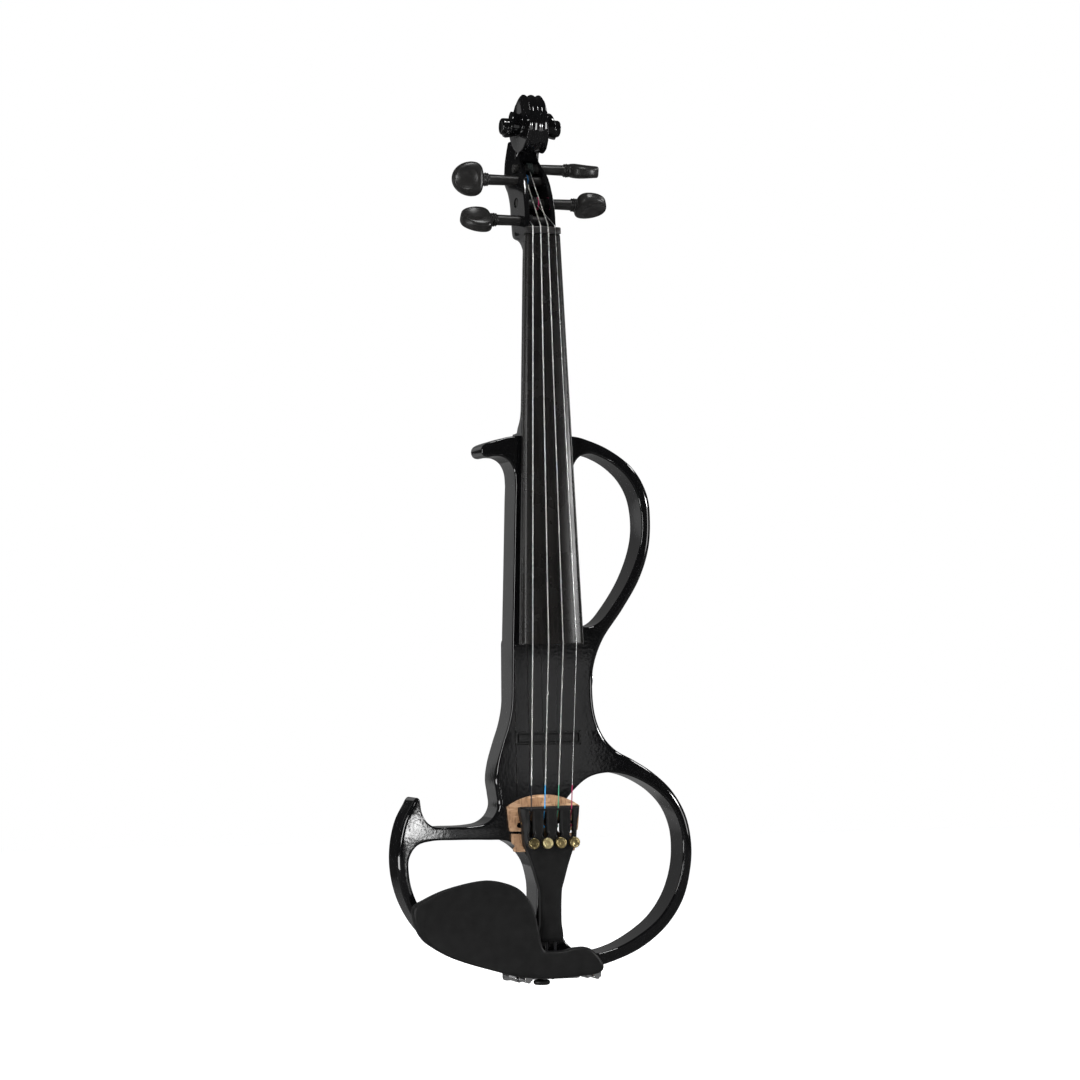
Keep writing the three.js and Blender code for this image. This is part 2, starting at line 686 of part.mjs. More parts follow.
// Height above the nut line, front depth, back depth, front and back half width, shoulder
// and squareness. Heights and depths are shares of the head, half widths of the nut.
const HEAD_STATION_SHARES = [
  [-0.1, 0.0235, 0.176, 1, 0.94, 0.12, 2.2],
  [-0.062, 0.0255, 0.195, 0.98, 0.96, 0.2, 2.6],
  [-0.03, 0.0265, 0.222, 0.95, 1, 0.4, 3],
  [0.0, 0.028, 0.28, 0.92, 1.1, 0.6, 4],
  [0.05, 0.028, 0.296, 0.89, 1.08, 0.72, 5],
  [0.088, 0.03, 0.302, 0.88, 1.07, 0.78, 5],
  [0.16, 0.038, 0.314, 0.87, 1.07, 0.8, 6],
  [0.233, 0.056, 0.336, 0.85, 1.05, 0.8, 6],
  [0.32, 0.09, 0.378, 0.81, 1.06, 0.8, 6],
  [0.4, 0.132, 0.45, 0.76, 1.08, 0.8, 6],
  [0.46, 0.18, 0.47, 0.68, 1.04, 0.78, 6],
  [0.51, 0.235, 0.482, 0.59, 0.99, 0.76, 6],
  [0.56, 0.285, 0.49, 0.54, 0.94, 0.7, 6],
  [0.63, 0.3, 0.49, 0.5, 0.85, 0.7, 6],
  [0.7, 0.29, 0.488, 0.46, 0.75, 0.7, 6],
];
// Height below the nut line, neck thickness and squareness down to the heel.
const NECK_STATION_SHARES = [
  [0.985, 1.85, 3],
  [0.965, 1.78, 2.8],
  [0.94, 1.52, 2.5],
  [0.91, 1.3, 2.3],
  [0.87, 1.2, 2.2],
  [0.7, 1.13, 2.2],
  [0.4, 1.06, 2.2],
  [0.15, 1, 2.2],
];
const BACK_ARC_STEPS = 8;
const NECK_SHOULDER_SHARE = 0.12;
const NECK_WAIST_SHARE = 0.94;

function neckRing(z, front, back, halfFront, halfBack, shoulder, squareness) {
  const middle = front + (back - front) * shoulder;
  const points = [point(halfFront, front, z), point(-halfFront, front, z)];
  for (let k = 0; k <= BACK_ARC_STEPS; k += 1) {
    const angle = Math.PI * (1 - k / BACK_ARC_STEPS);
    const across = Math.sign(Math.cos(angle)) * Math.abs(Math.cos(angle)) ** (2 / squareness);
    const behind = Math.sin(angle) ** (2 / squareness);
    points.push(point(halfBack * across, middle + (back - middle) * behind, z));
  }
  return points;
}

const neckLength = NUT_LINE - BODY_LENGTH - 2 * FIT_GAP;

function neckLoft() {
  const below = NECK_STATION_SHARES.map(([drop, thickness, squareness]) => {
    const z = NUT_LINE - drop * neckLength;
    const front = gluePlane(z);
    const back = front + thickness * NECK_THICKNESS;
    const half = boardHalfWidth(z);
    const waist = half * NECK_WAIST_SHARE;
    return neckRing(z, front, back, half, waist, NECK_SHOULDER_SHARE, squareness);
  });
  const foot = below[0].map((p) => point(p.x, p.y, BODY_LENGTH + 2 * FIT_GAP));
  const above = HEAD_STATION_SHARES.map(
    ([up, near, far, halfNear, halfFar, shoulder, squareness]) =>
      neckRing(
        NUT_LINE + up * HEAD_LENGTH,
        near * HEAD_LENGTH,
        far * HEAD_LENGTH,
        (halfNear * NUT_WIDTH) / 2,
        (halfFar * NUT_WIDTH) / 2,
        shoulder,
        squareness,
      ),
  );
  return loft([foot, ...below, ...above]);
}

// Angle in turns, outer radius and half width of the scroll's band, as shares.
const SCROLL_BAND_SHARES = [
  [-0.2, 1.04, 0.4],
  [-0.1, 1.04, 0.33],
  [0, 1.03, 0.32],
  [0.125, 1.01, 0.29],
  [0.25, 1, 0.265],
  [0.375, 0.96, 0.29],
  [0.5, 0.91, 0.33],
  [0.625, 0.88, 0.39],
  [0.75, 0.78, 0.43],
  [0.875, 0.65, 0.49],
  [1, 0.55, 0.56],
  [1.25, 0.47, 0.66],
  [1.5, 0.4, 0.76],
  [1.75, 0.34, 0.86],
  [2, 0.29, 0.93],
];
const SCROLL_SPAN_SHARES = [[-0.2, 0.7], [0.667, 1.55], [1.513, 2]];
const SCROLL_LAP_SHARE = 0.97;
const SCROLL_STEPS_PER_TURN = 20;
const SCROLL_CORE_SHARE = 0.1;
const RIDGE_SHARES = [-1, -0.5, 0, 0.5, 1];

function bandAt(turns) {
  const after = SCROLL_BAND_SHARES.findIndex(([at]) => at >= turns - Number.EPSILON);
  const [a, ra, wa] = SCROLL_BAND_SHARES[Math.max(after - 1, 0)];
  const [b, rb, wb] = SCROLL_BAND_SHARES[after];
  const share = b > a ? (turns - a) / (b - a) : 0;
  return {
    radius: SCROLL_RADIUS * (ra + (rb - ra) * share),
    half: (SCROLL_WIDTH / 2) * (wa + (wb - wa) * share),
  };
}

function scrollBand(fromTurns, toTurns) {
  const steps = Math.ceil((toTurns - fromTurns) * SCROLL_STEPS_PER_TURN);
  const core = SCROLL_RADIUS * SCROLL_CORE_SHARE;
  const rings = Array.from({ length: steps + 1 }, (_, k) => {
    const turns = fromTurns + ((toTurns - fromTurns) * k) / steps;
    const band = bandAt(turns);
    const lap = k === 0 ? SCROLL_LAP_SHARE : 1;
    const [radius, half] = [band.radius * lap, band.half * lap];
    const outward = point(0, Math.cos(turns * TURN), Math.sin(turns * TURN));
    const at = (across, distance) =>
      point(across, SCROLL_EYE_DEPTH, NUT_LINE + SCROLL_EYE_HEIGHT).addScaledVector(
        outward,
        distance,
      );
    const ridges = RIDGE_SHARES.map((share, i) =>
      at(share * half, radius - (i % 2 ? SCROLL_FLUTE : 0)),
    );
    return [at(half, core), at(-half, core), ...ridges];
  });
  return loft(rings);
}

const scrollEye = rod(
  SCROLL_EYE_RADIUS,
  -SCROLL_WIDTH / 2,
  SCROLL_WIDTH / 2,
  AXIS_X,
  point(0, SCROLL_EYE_DEPTH, NUT_LINE + SCROLL_EYE_HEIGHT),
  20,
);

// The part of the neck let into the body, with its front just behind the fingerboard's slope.
const rootRing = (z) => [
  point(NECK_ROOT_HALF_WIDTH, gluePlane(z) + FIT_GAP, z),
  point(-NECK_ROOT_HALF_WIDTH, gluePlane(z) + FIT_GAP, z),
  point(-NECK_ROOT_HALF_WIDTH, NECK_ROOT_DEPTH, z),
  point(NECK_ROOT_HALF_WIDTH, NECK_ROOT_DEPTH, z),
];
const neckRoot = loft([
  rootRing(BODY_LENGTH - NECK_ROOT_LENGTH),
  rootRing(BODY_LENGTH + NECK_THICKNESS * NECK_SHOULDER_SHARE),
]);

// The open trough of the pegbox, narrowing towards the scroll: way along, half width, depth.
const CAVITY_SHARES = [
  [0, 1, 0.6],
  [0.2, 0.97, 0.65],
  [0.4, 0.91, 0.78],
  [0.7, 0.8, 0.88],
  [0.9, 0.7, 0.99],
  [1, 0.6, 0.97],
];

function pegboxCavity() {
  const rings = CAVITY_SHARES.map(([along, width, depth]) => {
    const z = NUT_LINE + PEGBOX_START + along * PEGBOX_LENGTH;
    const half = PEGBOX_CAVITY_HALF_WIDTH * width;
    const back = PEGBOX_CAVITY_DEPTH * depth;
    return [
      point(half, -PEGBOX_CAVITY_DEPTH, z),
      point(-half, -PEGBOX_CAVITY_DEPTH, z),
      point(-half, back, z),
      point(half, back, z),
    ];
  });
  return loft(rings);
}

// Pegs: side, spin of the head in degrees, then height above the nut line, depth and reach
// to the rings as shares of the head, and where the winding starts as a share of the nut.
const PEG_SHARES = {
  g: [-1, -41, 0.1087, 0.1451, 0.282, -0.2333],
  e: [1, -28, 0.2389, 0.201, 0.2755, 0.0167],
  d: [-1, 86, 0.3969, 0.2321, 0.313, -0.1958],
  a: [1, 12, 0.4881, 0.2756, 0.2487, -0.0667],
};
const PEGS = Object.fromEntries(
  Object.entries(PEG_SHARES).map(([name, [side, spin, up, depth, reach, wind]]) => [
    name,
    {
      side,
      spin,
      up: up * HEAD_LENGTH,
      depth: depth * HEAD_LENGTH,
      reach: reach * HEAD_LENGTH,
      wind: wind * NUT_WIDTH,
    },
  ]),
);

const pegHeadward = (peg) => point(peg.side, 0, 0);
const pegCentre = (peg) => point(0, peg.depth, NUT_LINE + peg.up);
const pegRadiusAt = (peg, along) =>
  PEG_TIP_RADIUS +
  ((PEG_SHAFT_RADIUS - PEG_TIP_RADIUS) * (along + PEG_TIP_REACH)) /
    (peg.reach + PEG_TIP_REACH);

function pegHole(peg) {
  const far = peg.reach;
  const near = -PEG_TIP_REACH - CUT_OVERRUN;
  return turned(
    [
      [0, near],
      [pegRadiusAt(peg, near) + FIT_GAP, near],
      [pegRadiusAt(peg, far) + FIT_GAP, far],
      [0, far],
    ],
    pegHeadward(peg),
    pegCentre(peg),
    20,
  );
}

const RING_PROFILE_SHARES = [
  [1, 0], [1, 0.26], [0.86, 0.38], [0.86, 0.5], [1, 0.62], [1, 0.88], [0.78, 1],
];

function pegGeometry(peg) {
  const shaft = turned(
    [
      [0, -PEG_TIP_REACH],
      [PEG_TIP_RADIUS, -PEG_TIP_REACH],
      [PEG_SHAFT_RADIUS, peg.reach],
      ...RING_PROFILE_SHARES.map(([radius, along]) => [
        radius * PEG_RING_RADIUS,
        peg.reach + along * PEG_RING_LENGTH,
      ]),
      [0, peg.reach + 2 * PEG_RING_LENGTH],
    ],
    AXIS_Y,
    point(0, 0, 0),
    12,
  );
  const middle = peg.reach + PEG_RING_LENGTH + PEG_HEAD_LENGTH / 2;
  const thumb = new THREE.SphereGeometry(1, 12, 9)
    .scale(PEG_HEAD_WIDTH / 2, PEG_HEAD_LENGTH / 2, PEG_HEAD_THICKNESS / 2)
    .translate(0, middle, 0);
  const cheeks = [-1, 1].map((side) =>
    new THREE.SphereGeometry(PEG_CHEEK_RADIUS, 18, 12).translate(
      0,
      middle + PEG_HEAD_LENGTH / 4,
      side * (PEG_CHEEK_RADIUS + PEG_HEAD_WEB / 2),
    ),
  );
  return join(shaft, cut(thumb, ...cheeks));
}

piece(
  "neck",
  cut(
    join(
      neckLoft(),
      neckRoot,
      ...SCROLL_SPAN_SHARES.map(([from, to]) => scrollBand(from, to)),
      scrollEye,
    ),
    pegboxCavity(),
    ...Object.values(PEGS).map(pegHole),
  ),
  LACQUER,
);

for (const [name, peg] of Object.entries(PEGS)) {
  const mesh = piece(`peg_${name}`, pegGeometry(peg), EBONY);
  mesh.position.copy(pegCentre(peg));
  const lay = new THREE.Quaternion().setFromUnitVectors(AXIS_Y, pegHeadward(peg));
  const spin = new THREE.Quaternion().setFromAxisAngle(AXIS_Y, peg.spin * DEGREE);
  mesh.quaternion.copy(lay).multiply(spin);
}

// Fingerboard

const BOARD_ARC_STEPS = 10;
const BOARD_STATIONS = 4;

function boardRing(z) {
  const half = boardHalfWidth(z);
  const points = [point(half, gluePlane(z), z), point(-half, gluePlane(z), z)];
  for (let k = 0; k <= BOARD_ARC_STEPS; k += 1) {
    const x = half * ((2 * k) / BOARD_ARC_STEPS - 1);
    points.push(point(x, boardTop(x, z), z));
  }
  return points.map((p, i) => (i < 2 ? point(p.x, p.y - FIT_GAP, z) : p));
}

piece(
  "fingerboard",
  loft(
    Array.from({ length: BOARD_STATIONS + 1 }, (_, k) =>
      boardRing(NUT_LINE - (FINGERBOARD_LENGTH * k) / BOARD_STATIONS).reverse(),
    ),
  ),
  EBONY,
);

// Tailpiece, worked out upright and then turned a little about the middle of its foot

const tailpieceBack = -TAILPIECE_STANDOFF;
const tailpieceFront = tailpieceBack - TAILPIECE_THICKNESS;
const leverPinHeight = TAILPIECE_TOP_HEIGHT - LEVER_PIN_DROP;
const leverPinDepth = tailpieceBack - LEVER_PIN_DEPTH;
const tunerHeight = TAILPIECE_TOP_HEIGHT - TUNER_DROP;
const slotTop = TAILPIECE_TOP_HEIGHT - SLOT_TOP_DROP;
const slotBottom = slotTop - SLOT_LENGTH;
const hangAt = point(0, 0, TAILPIECE_FOOT_HEIGHT);
const hangTurn = new THREE.Quaternion().setFromAxisAngle(AXIS_Y, -TAILPIECE_TURN_ANGLE);
const hung = (p) => p.clone().sub(hangAt).applyQuaternion(hangTurn).add(hangAt);
const hang = (geometry) =>
  geometry
    .translate(-hangAt.x, -hangAt.y, -hangAt.z)
    .applyQuaternion(hangTurn)
    .translate(hangAt.x, hangAt.y, hangAt.z);

// Height, half width and thickness of the tailpiece.
const TAILPIECE_STATION_SHARES = [
  [0, 0.36, 0.5],
  [0.035, 0.41, 0.62],
  [0.15, 0.35, 0.72],
  [0.24, 0.345, 0.78],
  [0.375, 0.365, 0.86],
  [0.455, 0.455, 0.9],
  [0.57, 0.6, 0.94],
  [0.66, 0.735, 0.97],
  [0.73, 0.86, 1],
  [0.865, 0.91, 1],
  [0.985, 0.99, 1],
  [1, 0.97, 0.9],
];
const TAILPIECE_CREST_SHARES = [[1, 0.4], [0.88, 0.14], [0.55, 0.05], [0.25, 0.01], [0, 0]];
const TAILPIECE_POCKET_SHARES = [[0.715, 0.83], [0.73, 0.86], [0.865, 0.91], [0.98, 0.985]];

function tailpieceRing(height, width, thickness, inset, back) {
  const z = TAILPIECE_FOOT_HEIGHT + height * TAILPIECE_LENGTH;
  const half = (TAILPIECE_TOP_WIDTH / 2) * width - inset;
  const depth = TAILPIECE_THICKNESS * thickness;
  const crest = TAILPIECE_CREST_SHARES.map(([across, fall]) => [
    across * half,
    tailpieceBack - depth * (1 - fall) + inset,
  ]);
  const right = crest.map(([x, y]) => point(x, y, z));
  const left = crest.slice(0, -1).reverse().map(([x, y]) => point(-x, y, z));
  return [point(half, back, z), ...right, ...left, point(-half, back, z)];
}

function tailpieceSolid() {
  return loft(
    TAILPIECE_STATION_SHARES.map(([height, width, thickness]) =>
      tailpieceRing(height, width, thickness, 0, tailpieceBack),
    ),
  );
}

function tailpiecePocket() {
  const behind = tailpieceBack + CUT_OVERRUN;
  return loft(
    TAILPIECE_POCKET_SHARES.map(([height, width]) =>
      tailpieceRing(height, width, 1, TAILPIECE_WALL, behind),
    ),
  );
}

// Strings, from the pegs over the nut to the levers in the tailpiece

const STRING_ORDER = ["g", "d", "a", "e"];
const STRING_RADIUS_SHARES = [1, 0.905, 0.81, 0.381];
const STRING_RADII = Object.fromEntries(
  STRING_ORDER.map((name, i) => [name, STRING_RADIUS * STRING_RADIUS_SHARES[i]]),
);
const spread = (i, width) => width * (i / (STRING_ORDER.length - 1) - 0.5);
const nutBottom = NUT_LINE + FIT_GAP;
const nutTop = nutBottom + NUT_THICKNESS;
const slotCentre = (i) => spread(i, SLOT_SPACING * (STRING_ORDER.length - 1));
const forkDepth = leverPinDepth - BALL_DROP;

const windingRadius = (peg, along) =>
  pegRadiusAt(peg, along) + FIT_GAP + WINDING_STRAND_RADIUS;

function stringPoints(name, i) {
  const radius = STRING_RADII[name];
  const peg = PEGS[name];
  const nutX = spread(i, NUT_STRING_SPREAD);
  const endX = spread(i, BOARD_END_STRING_SPREAD);
  const rise = radius + STRING_CLEARANCE;
  const end = FINGERBOARD_END_HEIGHT;
  const nutY = boardTop(nutX, NUT_LINE) - NUT_RISE;
  const along = peg.side * peg.wind;
  const wound = windingRadius(peg, along);
  const swept = wound + WINDING_STRAND_RADIUS + FIT_GAP + radius;
  const exit = point(nutX, nutY + NUT_STRING_FALL, nutTop + FIT_GAP);
  const target = pegCentre(peg)
    .addScaledVector(pegHeadward(peg), along)
    .add(point(0, -wound, 0));
  const run = target.clone().sub(exit);
  const stop = run.length() - Math.sqrt(swept ** 2 - wound ** 2) - radius;
  const rimY = tailpieceFront + TAILPIECE_WALL / 2;
  return [
    exit.clone().addScaledVector(run.normalize(), stop),
    exit,
    point(nutX, nutY, nutBottom - FIT_GAP),
    point(endX, boardTop(endX, end) - rise, end),
    hung(point(slotCentre(i), rimY, TAILPIECE_TOP_HEIGHT - SLOT_TOP_DROP / 2)),
    hung(point(slotCentre(i), forkDepth, leverPinHeight + LEVER_THICKNESS)),
    hung(point(slotCentre(i), forkDepth, leverPinHeight - BALL_DROP)),
  ];
}

const ballAt = (i) => hung(point(slotCentre(i), forkDepth, leverPinHeight - BALL_DROP));

STRING_ORDER.forEach((name, i) => {
  const ball = new THREE.SphereGeometry(BALL_RADIUS, 8, 6).translate(...ballAt(i).toArray());
  const wire = strand(stringPoints(name, i), STRING_RADII[name]);
  piece(`string_${name}`, join(wire, ball), STEEL);
});

const stringRoom = STRING_ORDER.map((name, i) =>
  strand(stringPoints(name, i), STRING_RADII[name] + FIT_GAP),
);

// Windings of the strings on the pegs

class Helix extends THREE.Curve {
  constructor(peg) {
    super();
    this.peg = peg;
  }
  getPoint(share) {
    const { peg } = this;
    const along = peg.side * (peg.wind + share * WINDING_TURNS * WINDING_PITCH);
    const angle = share * WINDING_TURNS * TURN;
    const radius = windingRadius(peg, along);
    const out = pegHeadward(peg);
    const up = point(-out.z, 0, out.x).multiplyScalar(Math.sign(out.x));
    return pegCentre(peg)
      .addScaledVector(out, along)
      .addScaledVector(AXIS_Y, -radius * Math.cos(angle))
      .addScaledVector(up, radius * Math.sin(angle));
  }
}
const WINDING_STEPS_PER_TURN = 12;

// Least gap of a winding to itself, over points at least half a turn apart.
function leastGap(curve) {
  const count = 2 * WINDING_TURNS * WINDING_STEPS_PER_TURN;
  const points = curve.getPoints(count);
  let least = Infinity;
  points.forEach((p, i) => {
    const others = points.slice(i + WINDING_STEPS_PER_TURN);
    others.forEach((q) => {
      least = Math.min(least, p.distanceTo(q) - 2 * WINDING_STRAND_RADIUS);
    });
  });
  return least;
}

for (const [name, peg] of Object.entries(PEGS)) {
  const coil = new Helix(peg);
  piece(
    `peg_winding_${name}`,
    tube(coil, WINDING_STRAND_RADIUS, WINDING_TURNS * WINDING_STEPS_PER_TURN, 5),
    SILK,
  );
  console.log(`peg_winding_${name} least gap to itself ${leastGap(coil).toFixed(2)} mm`);
}

// Nut

const NUT_ARC_STEPS = 8;

function nutRing(z) {
  const half = NUT_WIDTH / 2;
  const back = gluePlane(NUT_LINE) - FIT_GAP;
  const points = [point(half, back, z), point(-half, back, z)];
  for (let k = 0; k <= NUT_ARC_STEPS; k += 1) {
    const x = half * ((2 * k) / NUT_ARC_STEPS - 1);
    points.push(point(x, boardTop(x, NUT_LINE) - NUT_RISE, z));
  }
  return points;
}

piece("nut", cut(loft([nutRing(nutBottom), nutRing(nutTop)]), ...stringRoom), EBONY);

// Tuner levers, their pin and the tuner screws

const tunerTipDepth =
  leverPinDepth - LEVER_THICKNESS / 2 - FIT_GAP - TUNER_STEM_RADIUS * Math.sin(TUNER_SPLAY_ANGLE);
const tunerTips = [-1, -1, 1, 1].map((side, i) => {
  const outer = i === 0 || i === STRING_ORDER.length - 1;
  const x = side * (outer ? TUNER_OUTER_OFFSET : TUNER_INNER_OFFSET);
  const splay = outer ? side * TUNER_SPLAY_ANGLE : 0;
  return {
    at: point(x, tunerTipDepth, tunerHeight),
    outward: point(Math.sin(splay), -Math.cos(splay), 0),
  };
});
const pinHalfLength = TAILPIECE_TOP_WIDTH / 2 - TAILPIECE_WALL;
const pinAt = point(0, leverPinDepth, leverPinHeight);

function leverSolid(i) {
  const slotX = slotCentre(i);
  const tip = tunerTips[i].at;
  const middle = (slotX + tip.x) / 2;
  const hubRoom = rod(
    LEVER_PIN_RADIUS + FIT_GAP,
    slotX - LEVER_FORK_WIDTH,
    slotX + LEVER_FORK_WIDTH,
    AXIS_X,
    pinAt,
    12,
  );
  const hub = rod(
    LEVER_HUB_RADIUS,
    middle - LEVER_FORK_WIDTH / 2,
    middle + LEVER_FORK_WIDTH / 2,
    AXIS_X,
    pinAt,
    12,
  );
  const arm = block(
    [tip.x - LEVER_WIDTH / 2, tip.x + LEVER_WIDTH / 2],
    [leverPinDepth - LEVER_THICKNESS / 2, leverPinDepth + LEVER_THICKNESS / 2],
    [leverPinHeight - LEVER_ARM_LENGTH, leverPinHeight],
  );
  const fork = block(
    [slotX - LEVER_FORK_WIDTH / 2, slotX + LEVER_FORK_WIDTH / 2],
    [leverPinDepth - LEVER_FORK_REACH, leverPinDepth],
    [leverPinHeight - LEVER_THICKNESS / 2, leverPinHeight + LEVER_THICKNESS / 2],
  );
  const notchHalf = STRING_RADII.g + FIT_GAP;
  const notch = block(
    [slotX - notchHalf, slotX + notchHalf],
    [leverPinDepth - LEVER_FORK_REACH - CUT_OVERRUN, forkDepth + notchHalf],
    [leverPinHeight - LEVER_THICKNESS, leverPinHeight + LEVER_THICKNESS],
  );
  return cut(join(hub, arm, fork), hubRoom, notch);
}

STRING_ORDER.forEach((name, i) => {
  piece(`tuner_lever_${name}`, hang(leverSolid(i)), STEEL);
});
const leverPin = rod(LEVER_PIN_RADIUS, -pinHalfLength, pinHalfLength, AXIS_X, pinAt, 10);
piece("lever_pin", hang(leverPin), BRASS);

const HEAD_RIBS = 14;
const tunerHeadFar = TUNER_STEM_LENGTH + TUNER_HEAD_LENGTH;

// A ribbed disc about Y, from near to far.
function ribbedDisc(radius, near, far) {
  const shape = new THREE.Shape();
  for (let k = 0; k < 2 * HEAD_RIBS; k += 1) {
    const reach = radius - (k % 2 ? TUNER_RIB : 0);
    const angle = (k * TURN) / (2 * HEAD_RIBS);
    const [x, y] = [reach * Math.cos(angle), reach * Math.sin(angle)];
    if (k === 0) shape.moveTo(x, y);
    else shape.lineTo(x, y);
  }
  shape.closePath();
  return plate(shape, near, far);
}

STRING_ORDER.forEach((name, i) => {
  const { at, outward } = tunerTips[i];
  const lay = new THREE.Quaternion().setFromUnitVectors(AXIS_Y, outward);
  const stem = rod(TUNER_STEM_RADIUS, 0, TUNER_STEM_LENGTH + FIT_GAP, AXIS_Y, point(0, 0, 0), 10);
  const head = ribbedDisc(TUNER_HEAD_RADIUS, TUNER_STEM_LENGTH, tunerHeadFar);
  const screw = join(stem, head).applyQuaternion(lay).translate(...at.toArray());
  piece(`tuner_screw_${name}`, hang(screw), BRASS);
});

// Tailpiece with its pocket, string slots, screw holes and pin hole

const slotCuts = STRING_ORDER.flatMap((name, i) => {
  const x = slotCentre(i);
  const depths = [tailpieceFront - CUT_OVERRUN, leverPinDepth];
  return [
    block([x - SLOT_WIDTH / 2, x + SLOT_WIDTH / 2], depths, [slotBottom, slotTop]),
    rod(SLOT_KEY_RADIUS, ...depths, AXIS_Y, point(x, 0, slotBottom), 12),
  ];
});
const tunerHoles = tunerTips.map(({ at, outward }) =>
  rod(TUNER_STEM_RADIUS + FIT_GAP, -CUT_OVERRUN, TUNER_STEM_LENGTH, outward, at, 12),
);
const pinHole = rod(
  LEVER_PIN_RADIUS + FIT_GAP,
  -TAILPIECE_TOP_WIDTH,
  TAILPIECE_TOP_WIDTH,
  AXIS_X,
  pinAt,
  12,
);
const gutHoles = [-1, 1].map((side) =>
  rod(
    GUT_RADIUS + FIT_GAP,
    TAILPIECE_FOOT_HEIGHT - CUT_OVERRUN,
    TAILPIECE_FOOT_HEIGHT + GUT_SINK + FIT_GAP,
    AXIS_Z,
    point(side * GUT_HALF_SPACING, tailpieceBack - GUT_INSET, 0),
    10,
  ),
);
const tailpieceBody = hang(
  cut(tailpieceSolid(), tailpiecePocket(), ...slotCuts, ...tunerHoles, pinHole, ...gutHoles),
);
piece("tailpiece", cut(tailpieceBody, ...stringRoom), MATTE_BLACK);

// Tail gut, saddle and end button

const gutStart = (side) =>
  hung(point(side * GUT_HALF_SPACING, tailpieceBack - GUT_INSET, TAILPIECE_FOOT_HEIGHT + GUT_SINK));
const saddleFront = -SADDLE_RISE;
const gutFront = saddleFront - FIT_GAP - GUT_RADIUS;
const gutUnder = -FIT_GAP - GUT_RADIUS;
const gutRound = BUTTON_NECK_RADIUS + 2 * FIT_GAP + GUT_RADIUS;
const GUT_BEND_STEPS = 6;
const GUT_STEPS = 44;

function gutCurve() {
  const leg = (side) => {
    const start = gutStart(side);
    const x = side * GUT_HALF_SPACING;
    return [
      start,
      hung(point(side * GUT_HALF_SPACING, start.y, TAILPIECE_FOOT_HEIGHT - GUT_RADIUS)),
      point(x, gutFront - GUT_RADIUS, SADDLE_HEIGHT + 2 * GUT_RADIUS),
      point(x, gutFront, SADDLE_HEIGHT - GUT_RADIUS),
      point(x, gutFront, GUT_RADIUS),
      point(x, gutFront + GUT_RADIUS, gutUnder - GUT_RADIUS / 2),
      point(x, 0, gutUnder - GUT_RADIUS / 2),
      point(side * gutRound, BUTTON_DEPTH - gutRound / 2, gutUnder - GUT_RADIUS / 2),
    ];
  };
  const bend = Array.from({ length: GUT_BEND_STEPS + 1 }, (_, k) => {
    const angle = -Math.PI * (k / GUT_BEND_STEPS);
    const x = -gutRound * Math.cos(angle);
    return point(x, BUTTON_DEPTH - gutRound * Math.sin(angle), gutUnder - GUT_RADIUS / 2);
  });
  const points = [...leg(-1), ...bend, ...leg(1).reverse()];
  return new THREE.CatmullRomCurve3(points, false, "centripetal");
}
piece("tail_gut", tube(gutCurve(), GUT_RADIUS, GUT_STEPS, 6), NYLON);

piece(
  "saddle",
  block(
    [-SADDLE_WIDTH / 2, SADDLE_WIDTH / 2],
    [saddleFront, SADDLE_SINK],
    [SADDLE_FOOT, SADDLE_HEIGHT],
  ),
  EBONY,
);

piece(
  "end_button",
  turned(
    [
      [0, -BUTTON_NECK_LENGTH - BUTTON_HEAD_LENGTH],
      [BUTTON_HEAD_RADIUS - BUTTON_EDGE, -BUTTON_NECK_LENGTH - BUTTON_HEAD_LENGTH],
      [BUTTON_HEAD_RADIUS, -BUTTON_NECK_LENGTH - BUTTON_HEAD_LENGTH + BUTTON_EDGE],
      [BUTTON_HEAD_RADIUS, -BUTTON_NECK_LENGTH - BUTTON_EDGE],
      [BUTTON_HEAD_RADIUS - BUTTON_EDGE, -BUTTON_NECK_LENGTH],
      [BUTTON_NECK_RADIUS, -BUTTON_NECK_LENGTH + BUTTON_EDGE],
      [BUTTON_NECK_RADIUS, FIT_GAP],
      [BUTTON_SHANK_RADIUS, FIT_GAP],
      [BUTTON_SHANK_RADIUS, BUTTON_SHANK_LENGTH],
      [0, BUTTON_SHANK_LENGTH],
    ],
    AXIS_Z,
    point(0, BUTTON_DEPTH, 0),
    14,
  ),
  EBONY,
);

// Bridge, laid flat, thinner towards its top

const BRIDGE_SIDE_SHARES = [
  [0.42, 0], [0.82, 0], [0.84, 0.05], [0.79, 0.1], [0.865, 0.15], [0.885, 0.318],
  [0.5, 0.31], [0.38, 0.35], [0.35, 0.43], [0.42, 0.5], [0.55, 0.525], [0.68, 0.515],
  [0.74, 0.49], [0.755, 0.46], [0.73, 0.43], [0.67, 0.415], [0.6, 0.41], [0.59, 0.357],
  [0.922, 0.358], [0.945, 0.437], [1, 0.79], [0.93, 0.825], [0.75, 0.89], [0.45, 0.96],
  [0.2, 0.99],
];
const BRIDGE_ARCH_SHARES = [[-0.3, 0.13], [-0.12, 0.2], [0.12, 0.2], [0.3, 0.13]];
const BRIDGE_HEART_SHARES = [
  [0, 0.5], [-0.11, 0.56], [-0.17, 0.63], [-0.12, 0.7], [-0.04, 0.7], [0, 0.66],
  [0.04, 0.7], [0.12, 0.7], [0.17, 0.63], [0.11, 0.56],
];

